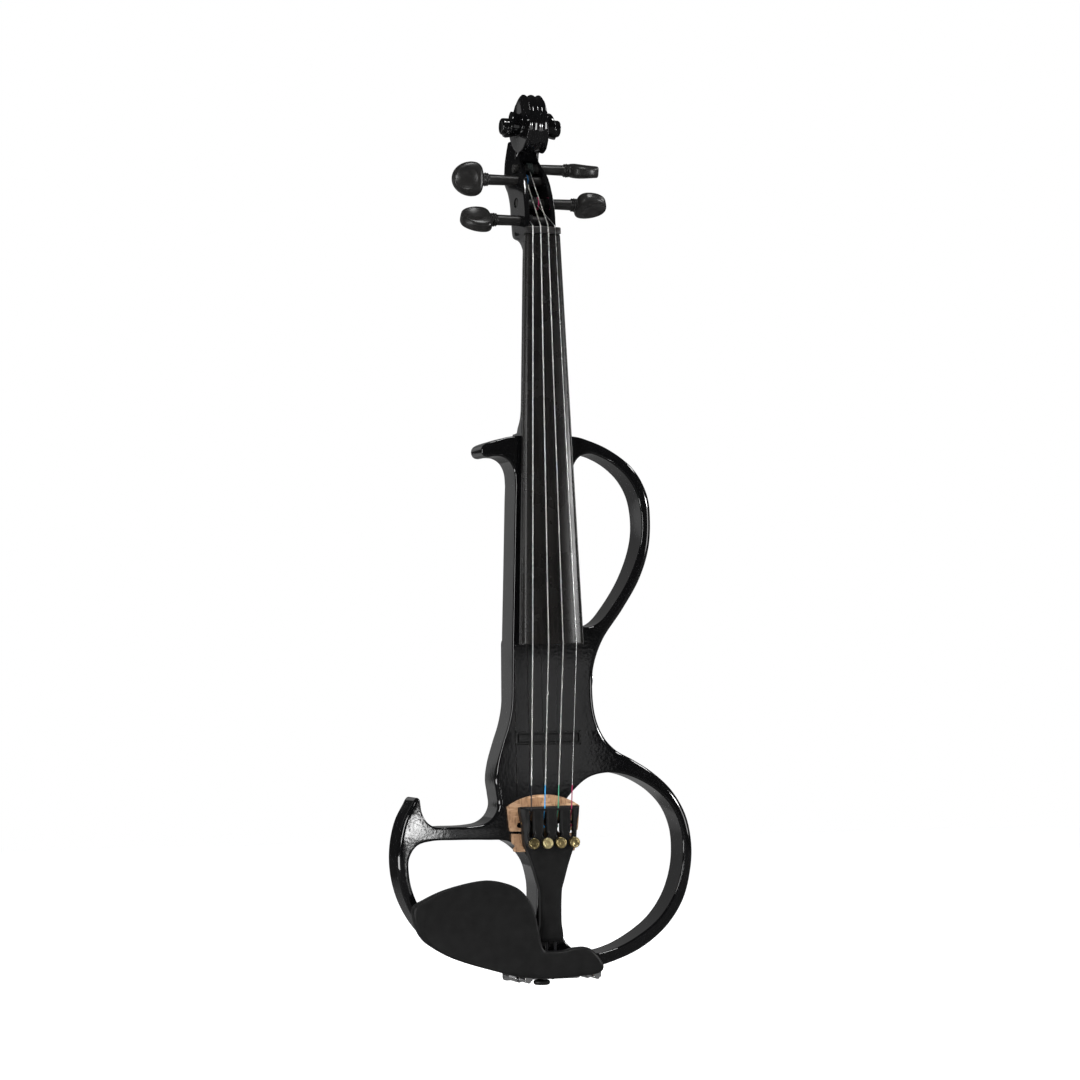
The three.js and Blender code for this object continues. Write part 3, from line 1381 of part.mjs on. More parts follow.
function bridgeSolid() {
  const onBridge = ([across, up]) =>
    new THREE.Vector2(
      BRIDGE_OFFSET + (across * BRIDGE_WIDTH) / 2,
      BRIDGE_FOOT_HEIGHT + up * BRIDGE_HEIGHT,
    );
  const mirrored = BRIDGE_SIDE_SHARES.map(([across, up]) => [-across, up]).reverse();
  const shape = new THREE.Shape(
    [...BRIDGE_SIDE_SHARES, ...mirrored, ...BRIDGE_ARCH_SHARES].map(onBridge),
  );
  shape.holes = [new THREE.Path(BRIDGE_HEART_SHARES.map(onBridge))];
  const geometry = plate(shape, -FIT_GAP - BRIDGE_THICKNESS, -FIT_GAP);
  const position = geometry.attributes.position;
  for (let i = 0; i < position.count; i += 1) {
    const share = (position.getZ(i) - BRIDGE_FOOT_HEIGHT) / BRIDGE_HEIGHT;
    const thickness = BRIDGE_THICKNESS + (BRIDGE_TOP_THICKNESS - BRIDGE_THICKNESS) * share;
    const slim = thickness / BRIDGE_THICKNESS;
    position.setY(i, -FIT_GAP + (position.getY(i) + FIT_GAP) * slim);
  }
  geometry.computeVertexNormals();
  return geometry;
}
piece("bridge", bridgeSolid(), MAPLE);

// Pickup and its lead

function roundedRect([left, right], [bottom, top], corner) {
  const shape = new THREE.Shape();
  shape.moveTo(left + corner, bottom);
  shape.lineTo(right - corner, bottom);
  shape.quadraticCurveTo(right, bottom, right, bottom + corner);
  shape.lineTo(right, top - corner);
  shape.quadraticCurveTo(right, top, right - corner, top);
  shape.lineTo(left + corner, top);
  shape.quadraticCurveTo(left, top, left, top - corner);
  shape.lineTo(left, bottom + corner);
  shape.quadraticCurveTo(left, bottom, left + corner, bottom);
  return shape;
}

piece(
  "pickup_bar",
  plate(
    roundedRect(
      [pickupLeft + FIT_GAP, pickupRight - FIT_GAP],
      [pickupBottom + FIT_GAP, pickupTop - FIT_GAP],
      2 * PICKUP_EDGE_ROUND,
    ),
    -PICKUP_STAND,
    PICKUP_SINK - FIT_GAP,
    PICKUP_EDGE_ROUND,
  ),
  MATTE_BLACK,
);

const underBoard = (POCKET_FLOOR + BOARD_DEPTH) / 2;
const leadRise = BATTERY_BOTTOM + BATTERY_LENGTH + BATTERY_POST_HEIGHT;
const leadTurn = (leadRise + BOARD_BOTTOM) / 2 + SNAP_THICKNESS;
const leadCurve = new THREE.CatmullRomCurve3(
  [
    point(PICKUP_LEAD_OFFSET, PICKUP_SINK + FIT_GAP, PICKUP_HEIGHT),
    point(PICKUP_LEAD_OFFSET, POCKET_FLOOR - 2 * PICKUP_LEAD_RADIUS, PICKUP_HEIGHT),
    point(PICKUP_LEAD_OFFSET, underBoard, PICKUP_HEIGHT + 4 * PICKUP_LEAD_RADIUS),
    point(PICKUP_LEAD_OFFSET, underBoard, leadRise),
    point((PICKUP_LEAD_OFFSET + BOARD_RIGHT) / 2, underBoard, leadTurn),
    point(BOARD_RIGHT, underBoard, BOARD_BOTTOM + 2 * PICKUP_LEAD_RADIUS),
    point(POT_OFFSET, underBoard, BOARD_BOTTOM + 4 * PICKUP_LEAD_RADIUS),
  ],
  false,
  "centripetal",
);
const LEAD_STEPS = 26;
piece("pickup_lead", tube(leadCurve, PICKUP_LEAD_RADIUS, LEAD_STEPS, 6), NYLON);

// Chinrest, with two feet on cork either side of the tail gut

const CHINREST_EDGE_SHARES = [
  [0, 0.746], [0.057, 0.82], [0.172, 0.918], [0.376, 1], [0.471, 0.974],
  [0.556, 0.896], [0.618, 0.736], [0.655, 0.471], [0.67, 0.313], [0.687, 0.25],
  [0.735, 0.241], [0.79, 0.245], [0.84, 0.269], [0.921, 0.264], [0.974, 0.165],
  [1, 0.06], [0.985, 0.004], [0.88, -0.033], [0.71, -0.049], [0.55, -0.02],
  [0.446, 0.035],
  [0.217, 0.185], [0.113, 0.296], [0.045, 0.404], [0.005, 0.56],
];
const chinrestBack = CHINREST_PLATE - CHINREST_FRONT;
const corkFront = -FIT_GAP - CORK_THICKNESS;
const footDepths = [chinrestBack - CHINREST_PLATE / 2, corkFront - FIT_GAP];
const footHeights = [FOOT_BOTTOM, FOOT_BOTTOM + FOOT_HEIGHT];
const FOOT_SPANS = {
  left: [-FOOT_INNER_OFFSET - FOOT_LEFT_WIDTH, -FOOT_INNER_OFFSET],
  right: [FOOT_INNER_OFFSET, FOOT_INNER_OFFSET + FOOT_RIGHT_WIDTH],
};
const CLAMPS = {
  left: { x: CLAMP_LEFT, z: CLAMP_LEFT_HEIGHT },
  right: { x: CLAMP_RIGHT, z: CLAMP_RIGHT_HEIGHT },
};
const tabNear = -CHINREST_FRONT + CLAMP_TAB_DEPTH;

function chinrestPlate() {
  const onChinrest = ([across, up]) =>
    point(
      CHINREST_LEFT + across * CHINREST_WIDTH,
      CHINREST_BOTTOM + up * CHINREST_HEIGHT,
      0,
    );
  const loop = smoothLoop(CHINREST_EDGE_SHARES.map(onChinrest)).reverse();
  return plate(new THREE.Shape(loop), -CHINREST_FRONT, chinrestBack, CHINREST_EDGE_ROUND);
}

// A shallow round hollow in the front of the chinrest.
const DISH_SHARES = [0, 0.25, 0.5, 0.72, 0.88, 1];
const dish = turned(
  [
    ...DISH_SHARES.map((share) => [
      share * CHINREST_DISH_RADIUS,
      -CHINREST_DISH_DEPTH * (1 - share ** 2),
    ]),
    [0, CUT_OVERRUN],
  ],
  point(0, -1, 0),
  point(CHINREST_DISH_OFFSET, -CHINREST_FRONT, CHINREST_DISH_HEIGHT),
  28,
);

const chinrestFeet = Object.values(FOOT_SPANS).map((span) =>
  block(span, footDepths, footHeights),
);
const tabRooms = Object.values(CLAMPS).map(({ x, z }) =>
  block(
    [x - CLAMP_TAB_WIDTH / 2 - FIT_GAP, x + CLAMP_TAB_WIDTH / 2 + FIT_GAP],
    [tabNear - FIT_GAP, tabNear + CLAMP_TAB_THICKNESS + FIT_GAP],
    [z - CLAMP_TAB_HEIGHT, z + CLAMP_TAB_HEIGHT + FIT_GAP],
  ),
);
piece("chinrest", cut(join(chinrestPlate(), ...chinrestFeet), dish, ...tabRooms), MATTE_BLACK);

for (const [side, [left, right]] of Object.entries(FOOT_SPANS)) {
  piece(
    `chinrest_cork_${side}`,
    block(
      [left + FOOT_CORK_MARGIN, right - FOOT_CORK_MARGIN],
      [corkFront, -FIT_GAP],
      [FOOT_BOTTOM + FOOT_CORK_MARGIN, FOOT_BOTTOM + FOOT_HEIGHT - FOOT_CORK_MARGIN],
    ),
    CORK,
  );
}

// Clamp of the chinrest: a stud and a barrel on each side, and one bracket behind

const barrelEnd = CLAMP_BARREL_START + CLAMP_BARREL_LENGTH;
const barrelMiddle = CLAMP_BARREL_START + CLAMP_BARREL_LENGTH / 2;
for (const [side, { x, z }] of Object.entries(CLAMPS)) {
  const stud = rod(
    CLAMP_ROD_RADIUS,
    tabNear,
    CLAMP_BARREL_START + CLAMP_STUD_ENGAGEMENT,
    AXIS_Y,
    point(x, 0, z),
    12,
  );
  const tab = block(
    [x - CLAMP_TAB_WIDTH / 2, x + CLAMP_TAB_WIDTH / 2],
    [tabNear, tabNear + CLAMP_TAB_THICKNESS],
    [z, z + CLAMP_TAB_HEIGHT],
  );
  piece(`clamp_stud_${side}`, join(stud, tab), CHROME);
  const keyHoles = [AXIS_X, AXIS_Z].map((axis) =>
    rod(
      CLAMP_KEY_HOLE_RADIUS,
      -CLAMP_BARREL_RADIUS - CUT_OVERRUN,
      CLAMP_BARREL_RADIUS + CUT_OVERRUN,
      axis,
      point(x, barrelMiddle, z),
      6,
    ),
  );
  const barrel = ring(
    CLAMP_ROD_RADIUS + FIT_GAP,
    CLAMP_BARREL_RADIUS,
    CLAMP_BARREL_START,
    barrelEnd,
    AXIS_Y,
    point(x, 0, z),
    12,
  );
  piece(`clamp_barrel_${side}`, cut(barrel, ...keyHoles), CHROME);
}

const clampCorkDepths = [BODY_THICKNESS + FIT_GAP, BODY_THICKNESS + FIT_GAP + CORK_THICKNESS];
const bracketNear = clampCorkDepths[1] + FIT_GAP;
const bracketFar = bracketNear + CLAMP_PLATE;
const bracketSpan = [CLAMP_LEFT - CLAMP_PLATE_MARGIN, CLAMP_RIGHT + CLAMP_PLATE_MARGIN];
const bracketHeights = [CLAMP_LEFT_HEIGHT - CLAMP_PLATE_MARGIN, CLAMP_PLATE_TOP];
const bracketLegs = Object.values(CLAMPS).map(({ x, z }) =>
  rod(
    CLAMP_ROD_RADIUS,
    barrelEnd - CLAMP_LEG_ENGAGEMENT,
    bracketFar - CLAMP_PLATE / 2,
    AXIS_Y,
    point(x, 0, z),
    12,
  ),
);
piece(
  "clamp_bracket",
  join(
    plate(roundedRect(bracketSpan, bracketHeights, CLAMP_PLATE_CORNER), bracketNear, bracketFar),
    ...bracketLegs,
  ),
  CHROME,
);
piece(
  "clamp_cork",
  block(
    [bracketSpan[0] + CLAMP_PLATE_CORNER, bracketSpan[1] - CLAMP_PLATE_CORNER],
    clampCorkDepths,
    [FOOT_BOTTOM + FOOT_CORK_MARGIN, CLAMP_PLATE_TOP - FOOT_CORK_MARGIN],
  ),
  CORK,
);

// Control panel on the back, with its screws

const doorLeft = BATTERY_LEFT - DOOR_MARGIN;
const doorRight = BATTERY_LEFT + BATTERY_WIDTH + DOOR_MARGIN;
const doorBottom = BATTERY_BOTTOM - DOOR_MARGIN;
const doorTop = BATTERY_BOTTOM + BATTERY_LENGTH + DOOR_MARGIN;
const hingeHeight = doorTop - PANEL_THICKNESS / 2;
const hingeDepth = PANEL_NEAR + PANEL_THICKNESS / 2;
const panelCutDepths = [PANEL_NEAR - CUT_OVERRUN, PANEL_FAR + CUT_OVERRUN];
const knobPlaces = { volume: VOLUME_HEIGHT, tone: TONE_HEIGHT };
const sliderTravelHalf = (SLIDER_LENGTH + SWITCH_TRAVEL) / 2;
const switchRoom = (depths) =>
  block(
    [SWITCH_OFFSET - sliderTravelHalf - FIT_GAP, SWITCH_OFFSET + sliderTravelHalf + FIT_GAP],
    depths,
    [SWITCH_HEIGHT - SLIDER_WIDTH / 2 - FIT_GAP, SWITCH_HEIGHT + SLIDER_WIDTH / 2 + FIT_GAP],
  );
const doorRoom = block(
  [doorLeft - FIT_GAP, doorRight + FIT_GAP],
  panelCutDepths,
  [doorBottom - FIT_GAP, doorTop + FIT_GAP],
);
const doorPinRoom = rod(
  DOOR_PIN_RADIUS + FIT_GAP,
  doorLeft - DOOR_PIN_LENGTH - FIT_GAP,
  doorRight + DOOR_PIN_LENGTH + FIT_GAP,
  AXIS_X,
  point(0, hingeDepth, hingeHeight),
  8,
);
const bushRooms = Object.values(knobPlaces).map((z) =>
  rod(POT_BUSH_RADIUS + FIT_GAP, ...panelCutDepths, AXIS_Y, point(POT_OFFSET, 0, z), 16),
);
const panelScrewHoles = screwPlaces.map(([x, z]) =>
  rod(SCREW_RADIUS + FIT_GAP, ...panelCutDepths, AXIS_Y, point(x, 0, z), 10),
);
// The corner of the panel that would hang over the window is cut off on a slant.
const slantOutline = new THREE.Shape(
  [
    [PANEL_RIGHT - PANEL_SLANT_ACROSS, PANEL_BOTTOM],
    [PANEL_RIGHT - PANEL_SLANT_ACROSS, PANEL_BOTTOM - CUT_OVERRUN],
    [PANEL_RIGHT + CUT_OVERRUN, PANEL_BOTTOM - CUT_OVERRUN],
    [PANEL_RIGHT + CUT_OVERRUN, PANEL_BOTTOM + PANEL_SLANT_HEIGHT],
    [PANEL_RIGHT, PANEL_BOTTOM + PANEL_SLANT_HEIGHT],
  ].map(([x, z]) => new THREE.Vector2(x, z)),
);
const panelSlant = plate(slantOutline, ...panelCutDepths);
piece(
  "control_panel",
  cut(
    plate(
      roundedRect([PANEL_LEFT, PANEL_RIGHT], [PANEL_BOTTOM, PANEL_TOP], PANEL_CORNER),
      PANEL_NEAR,
      PANEL_FAR,
    ),
    panelSlant,
    doorRoom,
    doorPinRoom,
    ...bushRooms,
    switchRoom(panelCutDepths),
    ...panelScrewHoles,
  ),
  PLASTIC,
);

screwPlaces.forEach(([x, z], i) => {
  const seat = PANEL_FAR + FIT_GAP;
  piece(
    `panel_screw_${i + 1}`,
    turned(
      [
        [0, PANEL_FAR - SCREW_LENGTH],
        [SCREW_RADIUS, PANEL_FAR - SCREW_LENGTH + SCREW_RADIUS],
        [SCREW_RADIUS, seat],
        [SCREW_HEAD_RADIUS, seat],
        [SCREW_RADIUS, seat + SCREW_HEAD_THICKNESS],
        [0, seat + SCREW_HEAD_THICKNESS],
      ],
      AXIS_Y,
      point(x, 0, z),
      10,
    ),
    STEEL,
  );
});

// Battery compartment

const doorSlab = block([doorLeft, doorRight], [PANEL_NEAR, PANEL_FAR], [doorBottom, hingeHeight]);
const doorEdge = rod(
  PANEL_THICKNESS / 2,
  doorLeft,
  doorRight,
  AXIS_X,
  point(0, hingeDepth, hingeHeight),
  12,
);
const doorPins = rod(
  DOOR_PIN_RADIUS,
  doorLeft - DOOR_PIN_LENGTH,
  doorRight + DOOR_PIN_LENGTH,
  AXIS_X,
  point(0, hingeDepth, hingeHeight),
  8,
);
const doorMiddle = (doorLeft + doorRight) / 2;
const doorNotch = block(
  [doorMiddle - DOOR_NOTCH_WIDTH / 2, doorMiddle + DOOR_NOTCH_WIDTH / 2],
  [PANEL_FAR - DOOR_NOTCH_DEPTH, PANEL_FAR + CUT_OVERRUN],
  [doorBottom + DOOR_NOTCH_HEIGHT, doorBottom + 2 * DOOR_NOTCH_HEIGHT],
);
piece("battery_door", cut(join(doorSlab, doorEdge, doorPins), doorNotch), PLASTIC);

const batterySpan = [BATTERY_LEFT, BATTERY_LEFT + BATTERY_WIDTH];
const batteryFar = BODY_THICKNESS - FIT_GAP;
const batteryDepths = [batteryFar - BATTERY_THICKNESS, batteryFar];
const batteryTop = BATTERY_BOTTOM + BATTERY_LENGTH;
const batteryAcross = (batterySpan[0] + batterySpan[1]) / 2;
const batteryDepth = (batteryDepths[0] + batteryDepths[1]) / 2;
const postPlaces = [-1, 1].map((side) =>
  point(batteryAcross + (side * BATTERY_POST_SPACING) / 2, batteryDepth, 0),
);
const postTop = batteryTop + BATTERY_POST_HEIGHT;
const snapNear = batteryDepth - BATTERY_POST_RADIUS - 2 * FIT_GAP - BOX_WALL;
const snapFar = batteryDepth + BATTERY_POST_RADIUS + 2 * FIT_GAP + BOX_WALL;

piece(
  "battery",
  join(
    block(batterySpan, batteryDepths, [BATTERY_BOTTOM, batteryTop]),
    ...postPlaces.map((at) =>
      rod(BATTERY_POST_RADIUS, batteryTop - CUT_OVERRUN, postTop, AXIS_Z, at, 12),
    ),
  ),
  STEEL,
);
piece(
  "battery_snap",
  cut(
    block(
      [batterySpan[0] + BOX_WALL, batterySpan[1] - BOX_WALL],
      [snapNear, snapFar],
      [SNAP_BOTTOM, SNAP_BOTTOM + SNAP_THICKNESS],
    ),
    ...postPlaces.map((at) =>
      rod(
        BATTERY_POST_RADIUS + FIT_GAP,
        batteryTop - CUT_OVERRUN,
        postTop + FIT_GAP,
        AXIS_Z,
        at,
        12,
      ),
    ),
  ),
  PLASTIC,
);

const boxInner = FIT_GAP;
const boxOuter = FIT_GAP + BOX_WALL;
piece(
  "battery_box",
  cut(
    block(
      [batterySpan[0] - boxOuter, batterySpan[1] + boxOuter],
      [batteryDepths[0] - boxOuter, batteryFar],
      [BATTERY_BOTTOM - boxOuter, batteryTop],
    ),
    block(
      [batterySpan[0] - boxInner, batterySpan[1] + boxInner],
      [batteryDepths[0] - boxInner, batteryFar + CUT_OVERRUN],
      [BATTERY_BOTTOM - boxInner, batteryTop + CUT_OVERRUN],
    ),
  ),
  PLASTIC,
);

// Preamplifier board, controls and sockets

const chipAt = (z) =>
  block(
    [POT_OFFSET - CHIP_WIDTH / 2, POT_OFFSET + CHIP_WIDTH / 2],
    [BOARD_DEPTH - CHIP_THICKNESS, BOARD_DEPTH + BOARD_THICKNESS / 2],
    [z - CHIP_LENGTH / 2, z + CHIP_LENGTH / 2],
  );
const boardFar = BOARD_DEPTH + BOARD_THICKNESS;
piece(
  "preamp_board",
  join(
    block([BOARD_LEFT, BOARD_RIGHT], [BOARD_DEPTH, boardFar], [BOARD_BOTTOM, BOARD_TOP]),
    chipAt((BOARD_BOTTOM + BOARD_TOP + CHIP_SPACING) / 2),
    chipAt((BOARD_BOTTOM + BOARD_TOP - CHIP_SPACING) / 2),
  ),
  BOARD_GREEN,
);

const potNear = boardFar + FIT_GAP;
const potFar = potNear + POT_THICKNESS;
const bushFar = PANEL_FAR + POT_BUSH_STAND;
const boreRadius = KNOB_SHAFT_RADIUS + FIT_GAP;
const capNear = bushFar + FIT_GAP;
const capFar = capNear + KNOB_LENGTH;
for (const [name, z] of Object.entries(knobPlaces)) {
  const at = point(POT_OFFSET, 0, z);
  piece(
    `${name}_pot`,
    turned(
      [
        [0, potNear],
        [POT_RADIUS, potNear],
        [POT_RADIUS, potFar],
        [POT_BUSH_RADIUS, potFar],
        [POT_BUSH_RADIUS, bushFar],
        [boreRadius, bushFar],
        [boreRadius, potFar - POT_BORE_DEPTH],
        [0, potFar - POT_BORE_DEPTH],
      ],
      AXIS_Y,
      at,
      14,
    ),
    STEEL,
  );
  const cap = turned(
    [
      [0, potFar - POT_BORE_DEPTH + FIT_GAP],
      [KNOB_SHAFT_RADIUS, potFar - POT_BORE_DEPTH + FIT_GAP],
      [KNOB_SHAFT_RADIUS, capNear],
      [KNOB_RADIUS, capNear],
      [KNOB_RADIUS - KNOB_EDGE, capFar - KNOB_EDGE],
      [KNOB_RADIUS - 2 * KNOB_EDGE, capFar],
      [0, capFar],
    ],
    AXIS_Y,
    at,
    16,
  );
  const mark = block(
    [POT_OFFSET - KNOB_MARK_WIDTH / 2, POT_OFFSET + KNOB_MARK_WIDTH / 2],
    [capFar - KNOB_MARK_DEPTH, capFar + CUT_OVERRUN],
    [z, z + KNOB_RADIUS + CUT_OVERRUN],
  );
  piece(`${name}_knob`, cut(cap, mark), MATTE_BLACK);
}

const switchFar = PANEL_NEAR - FIT_GAP;
const switchDepths = [switchFar - SWITCH_DEPTH, switchFar];
const sliderNear = switchFar - SLIDER_DEPTH;
piece(
  "switch_body",
  cut(
    block(
      [SWITCH_OFFSET - SWITCH_LENGTH / 2, SWITCH_OFFSET + SWITCH_LENGTH / 2],
      switchDepths,
      [SWITCH_HEIGHT - SWITCH_WIDTH / 2, SWITCH_HEIGHT + SWITCH_WIDTH / 2],
    ),
    switchRoom([sliderNear - FIT_GAP, switchFar + CUT_OVERRUN]),
  ),
  STEEL,
);
piece(
  "switch_slider",
  block(
    [SWITCH_OFFSET - sliderTravelHalf, SWITCH_OFFSET - sliderTravelHalf + SLIDER_LENGTH],
    [sliderNear, PANEL_FAR + SLIDER_RISE],
    [SWITCH_HEIGHT - SLIDER_WIDTH / 2, SWITCH_HEIGHT + SLIDER_WIDTH / 2],
  ),
  MATTE_BLACK,
);

const socketFace = POCKET_RIGHT - FIT_GAP;
const jackAt = point(0, JACK_DEPTH, JACK_HEIGHT);
const phonesAt = point(0, JACK_DEPTH, PHONES_HEIGHT);
const jackNutFar = JACK_SEAT_X + FIT_GAP + JACK_NUT_LENGTH;
const around = (centre, size) => [centre - size / 2, centre + size / 2];
piece(
  "output_jack",
  cut(
    join(
      block(
        [socketFace - JACK_BODY_LENGTH, socketFace],
        around(JACK_DEPTH, JACK_BODY_SIZE),
        around(JACK_HEIGHT, JACK_BODY_SIZE),
      ),
      rod(
        JACK_BUSH_RADIUS,
        socketFace - CUT_OVERRUN,
        jackNutFar + JACK_BUSH_STAND,
        AXIS_X,
        jackAt,
        20,
      ),
    ),
    rod(
      JACK_BORE_RADIUS,
      jackNutFar - JACK_BORE_LENGTH,
      jackNutFar + CUT_OVERRUN,
      AXIS_X,
      jackAt,
      16,
    ),
  ),
  CHROME,
);
piece(
  "output_jack_nut",
  ring(
    JACK_BUSH_RADIUS + FIT_GAP,
    JACK_NUT_RADIUS,
    JACK_SEAT_X + FIT_GAP,
    jackNutFar,
    AXIS_X,
    jackAt,
    18,
  ),
  CHROME,
);
piece(
  "headphone_jack",
  cut(
    join(
      block(
        [socketFace - PHONES_BODY_LENGTH, socketFace],
        around(JACK_DEPTH, PHONES_BODY_SIZE),
        around(PHONES_HEIGHT, PHONES_BODY_SIZE),
      ),
      rod(
        PHONES_BUSH_RADIUS,
        socketFace - CUT_OVERRUN,
        PHONES_BUSH_END,
        AXIS_X,
        phonesAt,
        16,
      ),
    ),
    rod(
      PHONES_BORE_RADIUS,
      PHONES_BUSH_END - PHONES_BORE_LENGTH,
      PHONES_BUSH_END + CUT_OVERRUN,
      AXIS_X,
      phonesAt,
      12,
    ),
  ),
  PLASTIC,
);

export default model;
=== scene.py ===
"""Looks of the open-frame electric violin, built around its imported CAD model."""

import json
from math import copysign, cos, pi, radians, sin, sqrt

import bmesh
import bpy
import numpy as np
from mathutils import Matrix, Quaternion, Vector
from mathutils.geometry import tessellate_polygon


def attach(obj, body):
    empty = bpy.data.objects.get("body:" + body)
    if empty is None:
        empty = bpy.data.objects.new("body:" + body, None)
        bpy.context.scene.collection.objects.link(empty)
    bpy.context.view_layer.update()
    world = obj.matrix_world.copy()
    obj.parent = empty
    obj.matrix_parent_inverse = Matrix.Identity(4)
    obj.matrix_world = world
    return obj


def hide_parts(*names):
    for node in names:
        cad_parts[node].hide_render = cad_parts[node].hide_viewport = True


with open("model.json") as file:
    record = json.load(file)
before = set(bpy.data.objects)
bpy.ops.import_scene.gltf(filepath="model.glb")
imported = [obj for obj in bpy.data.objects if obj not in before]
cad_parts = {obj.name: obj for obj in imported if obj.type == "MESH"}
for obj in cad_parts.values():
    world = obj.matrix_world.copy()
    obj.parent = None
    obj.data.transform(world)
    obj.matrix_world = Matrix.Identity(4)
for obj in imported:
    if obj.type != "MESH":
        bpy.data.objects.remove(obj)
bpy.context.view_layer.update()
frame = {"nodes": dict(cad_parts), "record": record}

MM = 0.001
TURN = 2 * pi
AXIS_X, AXIS_Y, AXIS_Z = (1, 0, 0), (0, 1, 0), (0, 0, 1)

# Sizes of the part, in millimetres from the foot of the body, as its solids have them.
NUT_LINE = 485
HANGER_HEIGHT = 540.5
HANGER_DEPTH = 24.5
BODY_LENGTH = 352.5
HALF_WIDTH = 101.5
THICKNESS = 25
HEAD = 96.5
NUT_WIDTH = 24
BOARD_LENGTH = 270
BOARD_END = 215
SILK_TOP = 124
GAP = 0.3


def placed(points):
    """Millimetres from the foot of the body to metres in the frame's axes."""
    p = np.asarray(points, float).reshape(-1, 3)
    return (p - [0, HANGER_DEPTH, HANGER_HEIGHT]) * MM


# Materials

BLACK, WHITE = (0, 0, 0), (1, 1, 1)


def grey(value):
    return (value, value, value)


def scaled(colour, factor):
    return tuple(min(c * factor, 1) for c in colour)


class Nodes:
    """The node tree of a material or of the world."""

    def __init__(self, owner):
        owner.use_nodes = True
        self.owner, self.tree = owner, owner.node_tree

    def feed(self, node, inputs):
        """Links each input that is a socket and sets each that is a value."""
        for key, value in inputs.items():
            if isinstance(value, bpy.types.NodeSocket):
                self.tree.links.new(value, node.inputs[key])
            else:
                node.inputs[key].default_value = value

    def add(self, kind, inputs=None, output=0, **settings):
        """Adds a node and returns one of its outputs."""
        node = self.tree.nodes.new("ShaderNode" + kind)
        for key, value in settings.items():
            setattr(node, key, value)
        self.feed(node, inputs or {})
        return node.outputs[output]

    def vector(self, scale=(1, 1, 1), turn=(0, 0, 0)):
        place = self.add("TexCoord", output="Object")
        return self.add("Mapping", {"Vector": place, "Scale": scale, "Rotation": turn})

    def axis(self, letter, kind="Object"):
        return self.add("SeparateXYZ", {"Vector": self.add("TexCoord", output=kind)}, letter)

    def noise(self, vector, scale, detail=4, rough=0.55, distortion=0):
        inputs = {"Vector": vector, "Scale": scale, "Detail": detail, "Roughness": rough}
        return self.add("TexNoise", {**inputs, "Distortion": distortion})

    def cells(self, vector, scale):
        return self.add("TexVoronoi", {"Vector": vector, "Scale": scale}).node.outputs

    def ramp(self, source, *stops):
        colour = self.add("ValToRGB", {"Fac": source})
        elements = colour.node.color_ramp.elements
        while len(elements) < len(stops):
            elements.new(0.5)
        for element, (position, tint) in zip(elements, stops):
            element.position = position
            element.color = (*tint, 1)
        return colour

    def spread(self, source, low, high, start=0.3, end=0.7, kind="LINEAR"):
        """The source's values from start to end, turned into values from low to high."""
        inputs = {"Value": source, "From Min": start, "From Max": end, "To Min": low}
        return self.add("MapRange", {**inputs, "To Max": high}, interpolation_type=kind)

    def mix(self, factor, a, b):
        """A mix of two colours; 6, 7 and 2 are the node's sockets for colour."""
        a, b = ((*c, 1) if isinstance(c, tuple) else c for c in (a, b))
        return self.add("Mix", {"Factor": factor, 6: a, 7: b}, 2, data_type="RGBA")

    def choose(self, factor, a, b):
        return self.add("MixShader", {"Fac": factor, 1: a, 2: b})

    def finish(self, colour, roughness, reliefs, **more):
        """Feeds the shader; the reliefs are (height, strength, distance in metres)."""
        normal = {}
        for height, strength, distance in reliefs:
            bump = {"Height": height, "Strength": strength, "Distance": distance, **normal}
            normal = {"Normal": self.add("Bump", bump)}
        shader = self.tree.nodes["Principled BSDF"]
        self.feed(shader, {"Base Color": colour, "Roughness": roughness, **normal, **more})
        return self.owner


def material_nodes(name):
    return Nodes(bpy.data.materials.new(name))


def surface(
    name, dark, light, roughness, scale, fine, stretch=(1, 1, 1), broad=None, specks=None,
    metallic=0, specular=0.5,
):
    """A stock finish: cloudy or grained colour, uneven gloss and a fine relief."""
    f = material_nodes(name)
    vector, plain = f.vector(stretch), f.vector()
    colour = f.ramp(f.noise(vector, scale, 6, 0.6), (0.3, dark), (0.7, light))
    if specks:
        size, tint, cover = specks
        spots = f.cells(vector, size)["Distance"]
        colour = f.mix(f.ramp(spots, (cover * 0.6, WHITE), (cover, BLACK)), colour, tint)
    gloss = f.spread(f.noise(plain, 35, 5, 0.6), *roughness)
    reliefs = [(f.noise(vector, fine[0], 3), *fine[1:])]
    if broad:
        reliefs.append((f.noise(plain, broad[0], 2), *broad[1:]))
    shine = {"Metallic": metallic, "Specular IOR Level": specular}
    return f.finish(colour, gloss, reliefs, **shine)


def lacquer(name, ripples):
    """Thick black lacquer: a mirror with a slight ripple, polishing haze and dust."""
    f = material_nodes(name)
    vector = f.vector()
    cloud = f.noise(vector, 20)
    colour = f.ramp(cloud, (0.3, (0.0016, 0.0016, 0.0018)), (0.7, (0.0028, 0.0028, 0.003)))
    dust = f.ramp(f.cells(vector, 170)["Distance"], (0.012, WHITE), (0.03, BLACK))
    haze = f.spread(f.noise(vector, 55, 8, 0.75), 0.03, 0.1)
    reliefs = [
        (f.noise(vector, 520, 2, 0.4), 0.28, 6e-5 * ripples),
        (f.noise(vector, 60, 2, 0.4), 0.1, 0.0002 * ripples),
        (dust, 0.15, 3e-5),
    ]
    return f.finish(f.mix(dust, colour, grey(0.05)), haze, reliefs)


